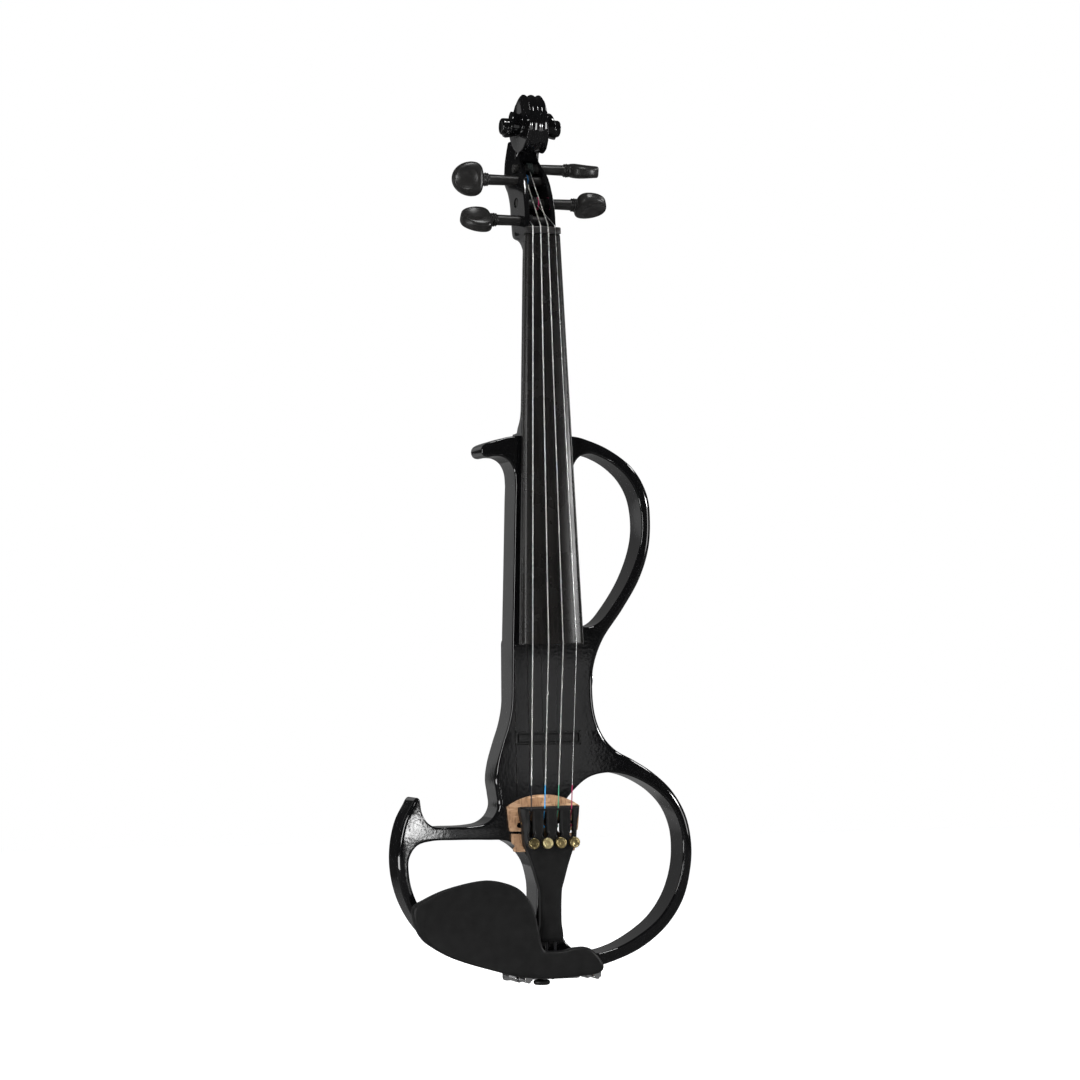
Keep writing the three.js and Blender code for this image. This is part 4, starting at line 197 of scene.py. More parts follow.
def maple():
    """Oiled maple with pores, rays across the grain and painted shade darkening its left side."""
    f = material_nodes("oiled_maple")
    along, across = f.vector((1, 1, 0.16)), f.vector((0.25, 1, 1))
    cloud = f.noise(along, 90, 6, 0.6, 0.4)
    pores = f.noise(along, 900, 3, 0.7)
    rays = f.noise(across, 420, 2, 0.5)
    dark, middle, light = (0.25, 0.13, 0.06), (0.37, 0.215, 0.11), (0.47, 0.285, 0.16)
    colour = f.ramp(cloud, (0.25, dark), (0.5, middle), (0.8, light))
    colour = f.mix(f.ramp(pores, (0.38, WHITE), (0.5, BLACK)), colour, (0.17, 0.085, 0.042))
    colour = f.mix(f.ramp(rays, (0.55, BLACK), (0.66, WHITE)), colour, (0.55, 0.35, 0.205))
    # painted shade: the maple darkens towards negative X, as if the bridge's left part lay in
    # shadow
    heart_hole_and_painted_shade = f.spread(f.axis("X"), 0.5, 0, -0.022, -0.012, "SMOOTHSTEP")
    colour = f.mix(heart_hole_and_painted_shade, colour, (0.12, 0.06, 0.03))
    reliefs = [(pores, 0.25, 8e-5), (cloud, 0.15, 0.0002)]
    return f.finish(colour, f.spread(cloud, 0.42, 0.6), reliefs, **{"Sheen Weight": 0.05})


def cork():
    f = material_nodes("bare_cork")
    vector = f.vector()
    grain = f.cells(vector, 850)
    dark, middle, light = (0.24, 0.13, 0.06), (0.48, 0.3, 0.15), (0.62, 0.42, 0.24)
    colour = f.ramp(grain["Color"], (0.15, dark), (0.4, middle), (0.9, light))
    pits = f.noise(vector, 1400)
    reliefs = [(grain["Distance"], 0.5, 0.0004), (pits, 0.3, 0.0002)]
    return f.finish(colour, f.spread(pits, 0.75, 0.95), reliefs)


def string_finish(name, silk, metal, coils, depth):
    """Coiled or plain metal, wrapped in coloured silk below SILK_TOP."""
    f = material_nodes("string_" + name + "_finish")
    vector = f.vector()
    top, blur = (SILK_TOP - HANGER_HEIGHT) * MM, 0.0004
    bare = f.spread(f.axis("Z"), 0, 1, top - blur, top + blur)
    dirt = f.noise(vector, 260, 5, 0.6)
    steel = f.ramp(dirt, (0.3, scaled(metal, 0.75)), (0.7, metal))
    fibre = f.noise(f.vector((1, 1, 0.25), (0, 0.5, 0)), 2500, 3)
    thread = f.ramp(fibre, (0.3, scaled(silk, 0.55)), (0.7, scaled(silk, 1.25)))
    inputs = {"Vector": vector, "Scale": coils, "Distortion": 0.3}
    wave = f.add("TexWave", inputs, "Fac", bands_direction="Z")
    reliefs = [(wave, depth, 0.0001), (fibre, 0.2, 6e-5)]
    shine = f.spread(bare, 0.62, 0.3, 0, 1)
    return f.finish(f.mix(bare, thread, steel), shine, reliefs, Metallic=bare)


def peg_silk(name, colour, start, end):
    """Silk whose colour is kept from start to end, in metres across; the rest is black."""
    f = material_nodes("silk_" + name)
    fibre = f.noise(f.vector(turn=(0, 0.4, 0)), 2600, 3)
    thread = f.ramp(fibre, (0.3, scaled(colour, 0.5)), (0.7, scaled(colour, 1.3)))
    across, blur = f.axis("X"), 0.0002
    rise = f.spread(across, 0, 1, start - blur, start + blur)
    fall = f.spread(across, 1, 0, end - blur, end + blur)
    shown = f.add("Math", {0: rise, 1: fall}, operation="MULTIPLY")
    colour = f.mix(shown, (0.008, 0.008, 0.009), thread)
    return f.finish(colour, f.spread(fibre, 0.5, 0.75), [(fibre, 0.5, 0.0001)])


def brass(name, dark, light):
    return surface(name, dark, light, (0.26, 0.4), 300, (1800, 0.08, 5e-5), metallic=1)


LACQUER = lacquer("black_lacquer", 1)
NECK_LACQUER = lacquer("neck_lacquer", 0.25)
EBONY = surface(
    "satin_ebony", (0.0036, 0.0034, 0.0032), (0.0085, 0.008, 0.0076), (0.22, 0.32), 260,
    (1500, 0.12, 5e-5), (1, 1, 0.06), (90, 0.05, 0.0002), specular=0.2,
)
POLISHED_EBONY = surface(
    "polished_ebony", (0.006, 0.0057, 0.0055), (0.013, 0.0125, 0.012), (0.3, 0.4), 220,
    (1300, 0.06, 4e-5), (1, 1, 0.1), (120, 0.04, 0.0002), specular=0.3,
)
SATIN_BLACK = surface(
    "satin_black", grey(0.0058), grey(0.0088), (0.36, 0.46), 140,
    (2600, 0.16, 5e-5), broad=(45, 0.05, 0.0003), specular=0.12,
)
PICKUP_BLACK = surface(
    "pickup_black", grey(0.006), grey(0.01), (0.2, 0.3), 160, (2200, 0.1, 4e-5),
    specular=0.34,
)
BRASS = brass("polished_brass", (0.4, 0.3, 0.12), (0.66, 0.53, 0.27))
# one brass in lit and shaded copies: painted shade on the G head, less on the E head, and a
# painted highlight on the D head
TUNER_BRASS = {
    "g": brass("brass_painted_shade", (0.22, 0.17, 0.07), (0.42, 0.34, 0.17)),
    "d": brass("brass_painted_highlight", (0.92, 0.74, 0.36), (1, 0.88, 0.5)),
    "a": BRASS,
    "e": brass("brass_painted_half_shade", (0.34, 0.26, 0.11), (0.58, 0.47, 0.24)),
}
CHROME = surface(
    "chrome_plate", (0.72, 0.72, 0.73), grey(0.84), (0.05, 0.14), 120,
    (700, 0.03, 5e-5), metallic=1,
)
STEEL = surface(
    "plain_steel", (0.42, 0.42, 0.43), (0.62, 0.62, 0.61), (0.22, 0.4), 200,
    (1600, 0.08, 5e-5), metallic=1,
)
DARK_STEEL = surface(
    "blackened_steel", grey(0.02), grey(0.045), (0.35, 0.5), 300,
    (1600, 0.1, 5e-5), metallic=0.8,
)
CAN_METAL = surface(
    "battery_case", (0.03, 0.03, 0.035), (0.07, 0.07, 0.075), (0.3, 0.45), 90,
    (1200, 0.1, 5e-5), metallic=0.7,
)
PLASTIC = surface(
    "fine_matt_plastic", (0.013, 0.013, 0.014), (0.022, 0.022, 0.024), (0.48, 0.62), 300,
    (2200, 0.4, 8e-5),
)
RUBBER = surface(
    "soft_black", grey(0.01), grey(0.02), (0.5, 0.66), 240, (1500, 0.3, 8e-5)
)
NYLON = surface(
    "black_nylon", (0.01, 0.01, 0.011), (0.02, 0.02, 0.022), (0.28, 0.4), 500,
    (1800, 0.15, 6e-5), (1, 1, 0.3),
)
BOARD_GREEN = surface(
    "solder_mask", (0.01, 0.06, 0.028), (0.022, 0.1, 0.05), (0.18, 0.32), 420,
    (900, 0.2, 8e-5), specks=(420, (0.55, 0.5, 0.38), 0.16),
)
MAPLE = maple()
CORK = cork()

# Mesh helpers


def link(name, mesh):
    obj = bpy.data.objects.new(name, mesh)
    bpy.context.scene.collection.objects.link(obj)
    return obj


def mesh_object(name, points, faces, in_place=True):
    mesh = bpy.data.meshes.new(name)
    where = placed(points) if in_place else np.asarray(points, float) * MM
    mesh.from_pydata(where.tolist(), [], [list(map(int, f)) for f in faces])
    b = bmesh.new()
    b.from_mesh(mesh)
    bmesh.ops.remove_doubles(b, verts=b.verts, dist=1e-7)
    bmesh.ops.recalc_face_normals(b, faces=b.faces)
    b.to_mesh(mesh)
    b.free()
    return link(name, mesh)


def modify(obj, kind, **settings):
    modifier = obj.modifiers.new(kind, kind)
    for key, value in settings.items():
        setattr(modifier, key, value)


def apply_all(obj):
    graph = bpy.context.evaluated_depsgraph_get()
    graph.update()
    old = obj.data
    mesh = bpy.data.meshes.new_from_object(obj.evaluated_get(graph))
    obj.modifiers.clear()
    obj.data = mesh
    bpy.data.meshes.remove(old)
    return obj


def drop(obj):
    mesh = obj.data
    bpy.data.objects.remove(obj)
    bpy.data.meshes.remove(mesh)


def cut(obj, tools):
    for tool in tools:
        modify(obj, "BOOLEAN", operation="DIFFERENCE", solver="MANIFOLD", object=tool)
    apply_all(obj)
    for tool in tools:
        drop(tool)
    return obj


def voxel(obj, fine, smooth):
    """Melts a piece's solids into one skin, with cells in millimetres, and smooths it."""
    size = fine
    modify(obj, "REMESH", mode="VOXEL", voxel_size=size * MM, use_smooth_shade=True)
    modify(obj, "SMOOTH", iterations=smooth, factor=0.5)
    return apply_all(obj)


def joined(name, objects):
    b = bmesh.new()
    for o in objects:
        b.from_mesh(o.data)
    mesh = bpy.data.meshes.new(name)
    b.to_mesh(mesh)
    b.free()
    for o in objects:
        drop(o)
    return link(name, mesh)


def shade(obj, angle, weighted=True):
    """Smooth shading up to an angle in degrees."""
    obj.data.polygons.foreach_set("use_smooth", [True] * len(obj.data.polygons))
    obj.data.set_sharp_from_angle(angle=radians(angle))
    if weighted:
        modify(obj, "WEIGHTED_NORMAL", keep_sharp=True, weight=100)
    return obj


def dress(obj, material, slot, body, *nodes):
    """Finishes a piece, which rides on a body and stands for the nodes."""
    obj.data.materials.clear()
    obj.data.materials.append(material)
    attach(obj, body)
    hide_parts(*nodes)


def walls(first, rings, n):
    """The faces between rings of n points, counted from a first point."""
    faces = []
    for row in range(first, first + (rings - 1) * n, n):
        for i in range(n):
            a, b = row + i, row + (i + 1) % n
            faces.append((a, b, b + n, a + n))
    return faces


def loft(name, rings, in_place=True):
    """A closed solid through rings of points, every ring with as many as the next."""
    rings = [np.asarray(r, float) for r in rings]
    n, last = len(rings[0]), (len(rings) - 1) * len(rings[0])
    points = np.vstack([*rings, rings[0].mean(0), rings[-1].mean(0)])
    start, end = len(points) - 2, len(points) - 1
    faces = walls(0, len(rings), n)
    for i in range(n):
        j = (i + 1) % n
        faces += [(start, j, i), (end, last + i, last + j)]
    return mesh_object(name, points, faces, in_place)


def put(obj, place, turn):
    """Moves a piece made at the origin to its place in the part."""
    where = Vector(placed(tuple(place))[0])
    obj.data.transform(Matrix.Translation(where) @ turn.to_matrix().to_4x4())
    return obj


def box_tool(x, y, z):
    points = [(a, b, c) for a in x for b in y for c in z]
    faces = [(0, 1, 3, 2), (4, 6, 7, 5), (0, 4, 5, 1), (2, 3, 7, 6), (0, 2, 6, 4), (1, 5, 7, 3)]
    return mesh_object("tool", points, faces)


def turned(name, profile, axis, centre, segments=48, in_place=True):
    """A solid of revolution; the profile holds (radius, distance along the axis)."""
    q = Vector((0, 1, 0)).rotation_difference(Vector(axis).normalized())
    angles = [TURN * k / segments for k in range(segments)]
    rings = []
    for radius, along in profile:
        r = max(radius, 1e-3)
        spun = [q @ Vector((r * sin(a), along, r * cos(a))) for a in angles]
        rings.append([(p.x + centre[0], p.y + centre[1], p.z + centre[2]) for p in spun])
    return loft(name, rings, in_place)


def rod_tool(radius, start, end, axis, centre):
    return turned("tool", [(radius, start), (radius, end)], axis, centre)


def ball(radius, steps):
    """The profile of a ball."""
    angles = [pi * k / steps for k in range(steps + 1)]
    return [(radius * sin(a), -radius * cos(a)) for a in angles]


def smooth_loop(points, per_segment=12, closed=True):
    """A smooth curve through points, as the solids' outlines use."""
    p = np.asarray(points, float)
    if closed:
        p = [p[-1], *p, p[0], p[1]]
    else:
        p = [2 * p[0] - p[1], *p, 2 * p[-1] - p[-2]]
    out = []
    for quad in zip(p, p[1:], p[2:], p[3:]):
        p0, p1, p2, p3 = quad
        d0, d1, d2 = (
            max(np.sum((b - a) ** 2) ** 0.25, 1e-4) for a, b in zip(quad, quad[1:])
        )
        t1 = ((p1 - p0) / d0 - (p2 - p0) / (d0 + d1) + (p2 - p1) / d1) * d1
        t2 = ((p2 - p1) / d1 - (p3 - p1) / (d1 + d2) + (p3 - p2) / d2) * d1
        for k in range(per_segment):
            t = k / per_segment
            out.append(
                p1 + t1 * t + (-3 * p1 + 3 * p2 - 2 * t1 - t2) * t**2
                + (2 * p1 - 2 * p2 + t1 + t2) * t**3
            )
    if not closed:
        out.append(p[-2])
    return np.array(out)


def resampled(loop, spacing):
    """Even steps along a closed loop; extra columns go with it."""
    closed = np.vstack([loop, loop[:1]])
    steps = np.linalg.norm(np.diff(closed[:, :2], axis=0), axis=1)
    at = np.concatenate([[0], np.cumsum(steps)])
    where = np.linspace(0, at[-1], max(int(at[-1] / spacing), 8), endpoint=False)
    return np.stack([np.interp(where, at, closed[:, k]) for k in range(loop.shape[1])], 1)


def with_radii(loop, front, back):
    """A loop for rounded_plate with the same two edge radii all round."""
    return np.column_stack([loop, np.full((len(loop), 2), (front, back))])


def outward(loop, hole):
    """Unit normals pointing out of the material, for a loop of (x, z)."""
    ahead = np.roll(loop[:, :2], -1, 0) - np.roll(loop[:, :2], 1, 0)
    ahead /= np.linalg.norm(ahead, axis=1)[:, None]
    normal = np.stack([ahead[:, 1], -ahead[:, 0]], 1)
    x, z = loop[:, 0], loop[:, 1]
    area = 0.5 * np.sum(x * np.roll(z, -1) - np.roll(x, -1) * z)
    return -normal if (area < 0) != hole else normal


def rounded_plate(name, loops, front, back, segments=7):
    """A plate along Y with round edges. Each loop holds (x, z, front radius, back radius);
    the first is the outline and the others are holes."""
    points, faces, fronts, backs = [], [], [], []
    total = 0
    for index, loop in enumerate(loops):
        normal, n, rows = outward(loop, index > 0), len(loop), 2 * segments + 2
        for side, face, sign in ((2, front, 1), (3, back, -1)):
            for k in range(segments + 1)[::sign]:
                a = 0.5 * pi * k / segments
                inset = loop[:, side] * (1 - sin(a))
                y = face + sign * loop[:, side] * (1 - cos(a))
                xz = loop[:, :2] - normal * inset[:, None]
                points.append(np.stack([xz[:, 0], y, xz[:, 1]], 1))
        faces += walls(total, rows, n)
        fronts.append(range(total, total + n))
        total += rows * n
        backs.append(range(total - n, total))
    points = np.concatenate(points)
    for group in (fronts, backs):
        flat = [i for ring in group for i in ring]
        polygons = [[Vector((points[i][0], points[i][2], 0)) for i in ring] for ring in group]
        faces += [tuple(flat[k] for k in tri) for tri in tessellate_polygon(polygons)]
    return mesh_object(name, points, faces)


def smooth_at(xs, ys, x):
    """Smooth curve through points without overshoot."""
    xs, ys = np.asarray(xs, float), np.asarray(ys, float)
    h = np.diff(xs)
    d = np.diff(ys) / h
    m = np.zeros(len(xs))
    m[0], m[-1] = d[0], d[-1]
    for i in range(1, len(xs) - 1):
        if d[i - 1] * d[i] > 0:
            w1, w2 = 2 * h[i] + h[i - 1], h[i] + 2 * h[i - 1]
            m[i] = (w1 + w2) / (w1 / d[i - 1] + w2 / d[i])
    i = np.clip(np.searchsorted(xs, x) - 1, 0, len(h) - 1)
    t = (x - xs[i]) / h[i]
    return (
        (1 + 2 * t) * (1 - t) ** 2 * ys[i] + t * (1 - t) ** 2 * h[i] * m[i]
        + t * t * (3 - 2 * t) * ys[i + 1] + t * t * (t - 1) * h[i] * m[i + 1]
    )


def stations(table, places):
    """Rows of a table worked out at other places of its first column."""
    table = np.asarray(table, float)
    first, *others = table[np.argsort(table[:, 0])].T
    return [[x, *(float(smooth_at(first, column, x)) for column in others)] for x in places]


def tube(name, points, radius, sides=12):
    """A round wire; the radius is one number or one for each point."""
    p = np.asarray(points, float)
    radii = np.broadcast_to(np.asarray(radius, float), len(p))
    ahead = np.gradient(p, axis=0)
    ahead /= np.linalg.norm(ahead, axis=1)[:, None]
    angles = np.linspace(0, TURN, sides, endpoint=False)
    side = np.array([1.0, 0, 0])
    rings = []
    for at, t, radius in zip(p, ahead, radii):
        side = side - t * np.dot(side, t)
        side /= np.linalg.norm(side)
        over = np.cross(t, side)
        rings.append([at + radius * (cos(a) * side + sin(a) * over) for a in angles])
    return loft(name, rings)


def along_path(points, step):
    """Extra points on straight runs, so that a tube has even rings."""
    points = [np.asarray(p, float) for p in points]
    out = [points[0]]
    for a, b in zip(points[:-1], points[1:]):
        count = max(int(np.linalg.norm(b - a) / step), 1)
        out += [a + (b - a) * k / count for k in range(1, count + 1)]
    return out


# Body

# Points of the outlines, in thousandths of the body's half width and of its length.
RIGHT_EDGE = [
    (207, 999), (307, 993), (470, 974), (633, 938), (722, 891), (742, 843), (726, 787), (657, 731),
    (538, 675), (402, 619), (341, 572), (329, 533), (348, 477), (404, 438), (489, 413), (610, 394),
    (739, 371), (874, 336), (971, 289), (1010, 233), (998, 182), (943, 130), (835, 84), (660, 44),
    (453, 19), (217, 4), (-10, 0), (-256, 5), (-493, 22), (-680, 51), (-828, 88), (-931, 136),
    (-983, 187), (-989, 238), (-952, 287), (-893, 319),
]
HOOK = [
    (-875, 328), (-857, 331), (-843, 327), (-838, 319), (-830, 305), (-798, 287), (-744, 277),
    (-650, 276), (-493, 277), (-404, 282), (-349, 294), (-321, 312),
]
SPINE_EDGE = [
    (-328, 335), (-340, 360), (-327, 390), (-290, 427), (-250, 462), (-228, 494), (-222, 539),
    (-219, 601), (-206, 743), (-194, 879), (-191, 913),
]
HORN = [
    (-201, 935), (-233, 951), (-281, 959), (-335, 960), (-378, 958), (-407, 961), (-420, 971),
    (-406, 980), (-305, 991), (-197, 998),
]
UPPER_WINDOW = [
    (192, 743), (192, 913), (200, 939), (243, 960), (315, 967), (414, 958), (505, 942), (586, 919),
    (648, 885), (673, 834), (653, 790), (577, 733), (463, 681), (374, 652), (300, 643), (232, 647),
    (197, 667), (192, 700),
]
RIGHT_WINDOW = [
    (69, 170), (69, 221), (81, 272), (118, 312), (193, 340), (296, 363), (417, 371), (542, 367),
    (660, 354), (778, 332), (869, 303), (926, 264), (940, 221), (922, 180), (869, 138), (773, 99),
    (640, 69), (473, 45), (310, 36), (194, 44), (130, 59), (88, 90),
]
LEFT_WINDOW = [
    (-63, 159), (-73, 180), (-104, 209), (-163, 231), (-256, 248), (-394, 251), (-611, 252),
    (-768, 251), (-862, 243), (-913, 221), (-916, 193), (-889, 157), (-813, 115), (-690, 78),
    (-532, 50), (-355, 36), (-207, 40), (-113, 64), (-73, 102),
]
# The edge radii in front and behind, one pair for each point round the outline.
EDGE_RADII = (
    [(1.4, 1.4), (3.2, 2.6)] + [(4.6, 3.6)] * 5 + [(3.8, 3.6)] + [(3.2, 3.6)] * 6
    + [(4.4, 3.6)] * 7 + [(3.4, 3.6)] * 13 + [(2.8, 3.2), (2.4, 2.8), (2.2, 2.6), (1.6, 1.8)]
    + [(1.3, 1.5)] * 7 + [(1.6, 1.5), (2.2, 1.5), (2.8, 1.5), (2.8, 1.5), (2.6, 1.5)]
    + [(1.8, 1.5)] + [(1.2, 1.5)] * 8 + [(1.2, 1.4)] * 10
)
WINDOW_RADII = (1.3, 1.5)
OUTPUT_JACK, HEADPHONE_JACK = (0, 15, 192.7), (0, 15, 176.7)
BUTTON_PLACE = (0, 11.5, 0)


def body_loop(points, radii):
    """An even, smooth loop through one of the outlines above."""
    p = np.array(
        [(x / 1000 * HALF_WIDTH, z / 1000 * BODY_LENGTH, *r) for (x, z), r in zip(points, radii)]
    )
    shape = smooth_loop(p[:, :2])
    steps = np.linspace(0, len(p), len(shape), endpoint=False)
    wrapped = np.vstack([p, p[:1]])
    extra = [np.interp(steps, np.arange(len(p) + 1), wrapped[:, k]) for k in (2, 3)]
    return resampled(np.column_stack([shape, *extra]), 0.9)


def build_body():
    loops = [body_loop(RIGHT_EDGE + HOOK + SPINE_EDGE + HORN, EDGE_RADII)]
    for window in (UPPER_WINDOW, RIGHT_WINDOW, LEFT_WINDOW):
        loops.append(body_loop(window, [WINDOW_RADII] * len(window)))
    body = rounded_plate("body_shell", loops, 0, THICKNESS)
    neck_slot = (-16.3, 16.3), (-2, 17.8), (BODY_LENGTH - 18.8, BODY_LENGTH + 2)
    pickup_channel = (-21, 24.4), (-2, 2.6), (149.6, 158.8)
    battery_bay = (-16.6, 13.7), (6, 27), (121, 216.2)
    control_pocket = (11.7, 24.9), (6, 27), (142, 216.2)
    saddle_seat = (-8.8, 8.8), (-2, 2.9), (-2, 4.7)
    socket, recess, outside = 22.9, 32.6, 60
    cutters = [box_tool(*b) for b in (neck_slot, pickup_channel, battery_bay, control_pocket)]
    cutters += [
        rod_tool(3.9, -2, 12.3, AXIS_Z, BUTTON_PLACE),
        box_tool(*saddle_seat),
        rod_tool(5, socket, socket + outside, AXIS_X, OUTPUT_JACK),
        rod_tool(8.3, recess, recess + outside, AXIS_X, OUTPUT_JACK),
        rod_tool(3.3, socket, socket + outside, AXIS_X, HEADPHONE_JACK),
    ]
    return shade(cut(body, cutters), 30)


dress(build_body(), LACQUER, "lacquer", "body", "body_frame")

# Neck, pegbox and scroll

# Height above the nut, near and far face in shares of the head; half widths in front and
# behind in shares of the nut's; where the side turns, and how square the back is.
HEAD_STATIONS = [
    (-0.1, 0.0235, 0.176, 1, 0.94, 0.12, 2.2), (-0.062, 0.0255, 0.195, 0.98, 0.96, 0.2, 2.6),
    (-0.03, 0.0265, 0.222, 0.95, 1, 0.4, 3), (0.0, 0.028, 0.28, 0.92, 1.1, 0.6, 4),
    (0.05, 0.028, 0.296, 0.89, 1.08, 0.72, 5), (0.088, 0.03, 0.302, 0.88, 1.07, 0.78, 5),
    (0.16, 0.038, 0.314, 0.87, 1.07, 0.8, 6), (0.233, 0.056, 0.336, 0.85, 1.05, 0.8, 6),
    (0.32, 0.09, 0.378, 0.81, 1.06, 0.8, 6), (0.4, 0.132, 0.45, 0.76, 1.08, 0.8, 6),
    (0.46, 0.18, 0.47, 0.68, 1.04, 0.78, 6), (0.51, 0.235, 0.482, 0.59, 0.99, 0.76, 6),
    (0.56, 0.285, 0.49, 0.54, 0.94, 0.7, 6), (0.63, 0.3, 0.49, 0.5, 0.85, 0.7, 6),
    (0.7, 0.29, 0.488, 0.46, 0.75, 0.7, 6),
]
# Share of the way from nut to body, thickness, and how square the back is.
NECK_STATIONS = [
    (0.985, 1.85, 3), (0.965, 1.78, 2.8), (0.94, 1.52, 2.5), (0.91, 1.3, 2.3), (0.87, 1.2, 2.2),
    (0.7, 1.13, 2.2), (0.4, 1.06, 2.2), (0.15, 1, 2.2),
]
# Turns, radius and half width of the scroll's band.
SCROLL_BAND = [
    (-0.2, 1.04, 0.4), (-0.1, 1.04, 0.33), (0, 1.03, 0.32), (0.125, 1.01, 0.29), (0.25, 1, 0.265),
    (0.375, 0.96, 0.29), (0.5, 0.91, 0.33), (0.625, 0.88, 0.39), (0.75, 0.78, 0.43),
    (0.875, 0.65, 0.49), (1, 0.55, 0.56), (1.25, 0.47, 0.66), (1.5, 0.4, 0.76), (1.75, 0.34, 0.86),
    (2, 0.29, 0.93),
]
# Share of the pegbox's length, half width and depth of its trough.
CAVITY = [
    (0, 1, 0.6), (0.2, 0.97, 0.65), (0.4, 0.91, 0.78), (0.7, 0.8, 0.88), (0.9, 0.7, 0.99),
    (1, 0.6, 0.97),
]
# Side, spin in degrees, height, depth and reach in shares of the head, winding's place.
PEGS = {
    "g": (-1, -41, 0.1087, 0.1451, 0.282, -0.2333),
    "e": (1, -28, 0.2389, 0.201, 0.2755, 0.0167),
    "d": (-1, 86, 0.3969, 0.2321, 0.313, -0.1958),
    "a": (1, 12, 0.4881, 0.2756, 0.2487, -0.0667),
}
PEG_TIP_REACH = 11.5
PEG_COLLAR = [
    (3.75, 0), (4.2, 0.1), (4.5, 0.45), (4.2, 0.85), (3.7, 0.95), (3.7, 1.35), (4.35, 1.5),
    (4.7, 1.95), (4.35, 2.4), (3.7, 2.55), (3.7, 2.8), (4.3, 2.95), (4.5, 3.3), (4.3, 3.7),
    (3.6, 3.9), (3.6, 4.5),
]
# Share of the thumb piece's length, its width and its thickness.
PEG_HEAD = [
    (0, 0.5, 0.6), (0.02, 0.62, 0.74), (0.06, 0.76, 0.88), (0.14, 0.9, 0.98), (0.25, 0.98, 1),
    (0.38, 1, 1), (0.52, 0.97, 0.98), (0.66, 0.89, 0.95), (0.8, 0.74, 0.91), (0.9, 0.56, 0.86),
    (0.96, 0.38, 0.78), (0.99, 0.2, 0.66), (1, 0.08, 0.5),
]
NECK_THICKNESS = 13.5
ROOT_DEPTH = 17.5
SCROLL_CENTRE = (0, HANGER_DEPTH, NUT_LINE + 74.5)
SCROLL_RADIUS, SCROLL_HALF_WIDTH = 22, 20.5
SCROLL_EYE = [
    (0, -20.5), (4.4, -20.5), (5.3, -20.1), (5.6, -19.3), (5.6, 19.3), (5.3, 20.1), (4.4, 20.5),
    (0, 20.5),
]


def glue_plane(z):
    return 2.7 - 14 * (NUT_LINE - z) / BOARD_LENGTH


def board_half(z):
    return (NUT_WIDTH + 19.4 * (NUT_LINE - z) / BOARD_LENGTH) / 2


def arc_drop(x):
    return 42 - sqrt(42.0**2 - x * x)


def board_top(x, z):
    return glue_plane(z) - 5 - arc_drop(board_half(z)) + arc_drop(x)


def peg_headward(side):
    return Vector((side, 0, 0))


def peg_centre(name):
    return Vector((0, PEGS[name][3] * HEAD, NUT_LINE + PEGS[name][2] * HEAD))


def peg_radius(name, along):
    reach = PEGS[name][4] * HEAD
    return 3 + 0.6 * (along + PEG_TIP_REACH) / (reach + PEG_TIP_REACH)


def neck_ring(z, front, back, half_front, half_back, shoulder, squareness):
    """A section with a flat front and a round or square back."""
    middle = front + (back - front) * shoulder
    ring = [(half_front * (1 - 2 * k / 10), front, z) for k in range(11)]
    for k in range(41):
        a = pi * (1 - k / 40)
        c = cos(a)
        across = copysign(abs(c) ** (2 / squareness), c)
        behind = max(sin(a), 0) ** (2 / squareness)
        ring.append((half_back * across, middle + (back - middle) * behind, z))
    return ring


def build_neck():
    joint = BODY_LENGTH + 0.6
    rings = []
    for share, thickness, squareness in stations(NECK_STATIONS, np.linspace(0.985, 0.15, 90)):
        z = NUT_LINE - share * (NUT_LINE - BODY_LENGTH - 0.6)
        front, half = glue_plane(z), board_half(z)
        back = front + thickness * NECK_THICKNESS
        rings.append(neck_ring(z, front, back, half, half * 0.94, 0.12, squareness))
    rings.insert(0, [(x, y, joint) for x, y, z in rings[0]])
    for up, near, far, half_near, half_far, shoulder, squareness in stations(
        HEAD_STATIONS, np.linspace(-0.1, 0.7, 110)
    ):
        halves = half_near * NUT_WIDTH / 2, half_far * NUT_WIDTH / 2
        z = NUT_LINE + up * HEAD
        rings.append(neck_ring(z, near * HEAD, far * HEAD, *halves, shoulder, squareness))
    root = []
    for z in (BODY_LENGTH - 18.5, BODY_LENGTH + 1.62):
        near = glue_plane(z) + GAP
        root.append([(16, near, z), (-16, near, z), (-16, ROOT_DEPTH, z), (16, ROOT_DEPTH, z)])
    band = []
    for t, radius, half in stations(SCROLL_BAND, np.linspace(-0.2, 2, 300)):
        radius, half = radius * SCROLL_RADIUS, half * SCROLL_HALF_WIDTH
        out = np.array([0, cos(t * 2 * pi), sin(t * 2 * pi)])
        rim = [(half, 2.2), (-half, 2.2)]
        for s in np.linspace(-1, 1, 25):
            rim.append((s * half, radius - 1.5 * sin(pi * s) ** 2))
        centre = np.array(SCROLL_CENTRE)
        band.append([centre + [across, 0, 0] + out * distance for across, distance in rim])
    parts = [loft("neck_loft", rings), loft("neck_root", root), loft("scroll_band", band)]
    parts.append(turned("scroll_eye", SCROLL_EYE, AXIS_X, SCROLL_CENTRE))
    neck = voxel(joined("neck_and_scroll", parts), 0.45, 9)
    trough = []
    for along, width, depth in stations(CAVITY, np.linspace(0, 1, 24)):
        z = NUT_LINE + 5.2 + along * 47
        half, back = 7.6 * width, 33 * depth
        trough.append([(half, -33, z), (-half, -33, z), (-half, back, z), (half, back, z)])
    tools = [loft("tool", trough)]
    for name in PEGS:
        ends = -PEG_TIP_REACH - 2, PEGS[name][4] * HEAD
        near, far = ((peg_radius(name, end) + GAP, end) for end in ends)
        profile = [(0, ends[0]), near, far, (0, ends[1])]
        tools.append(turned("tool", profile, peg_headward(PEGS[name][0]), peg_centre(name)))
    return shade(cut(neck, tools), 48, False)


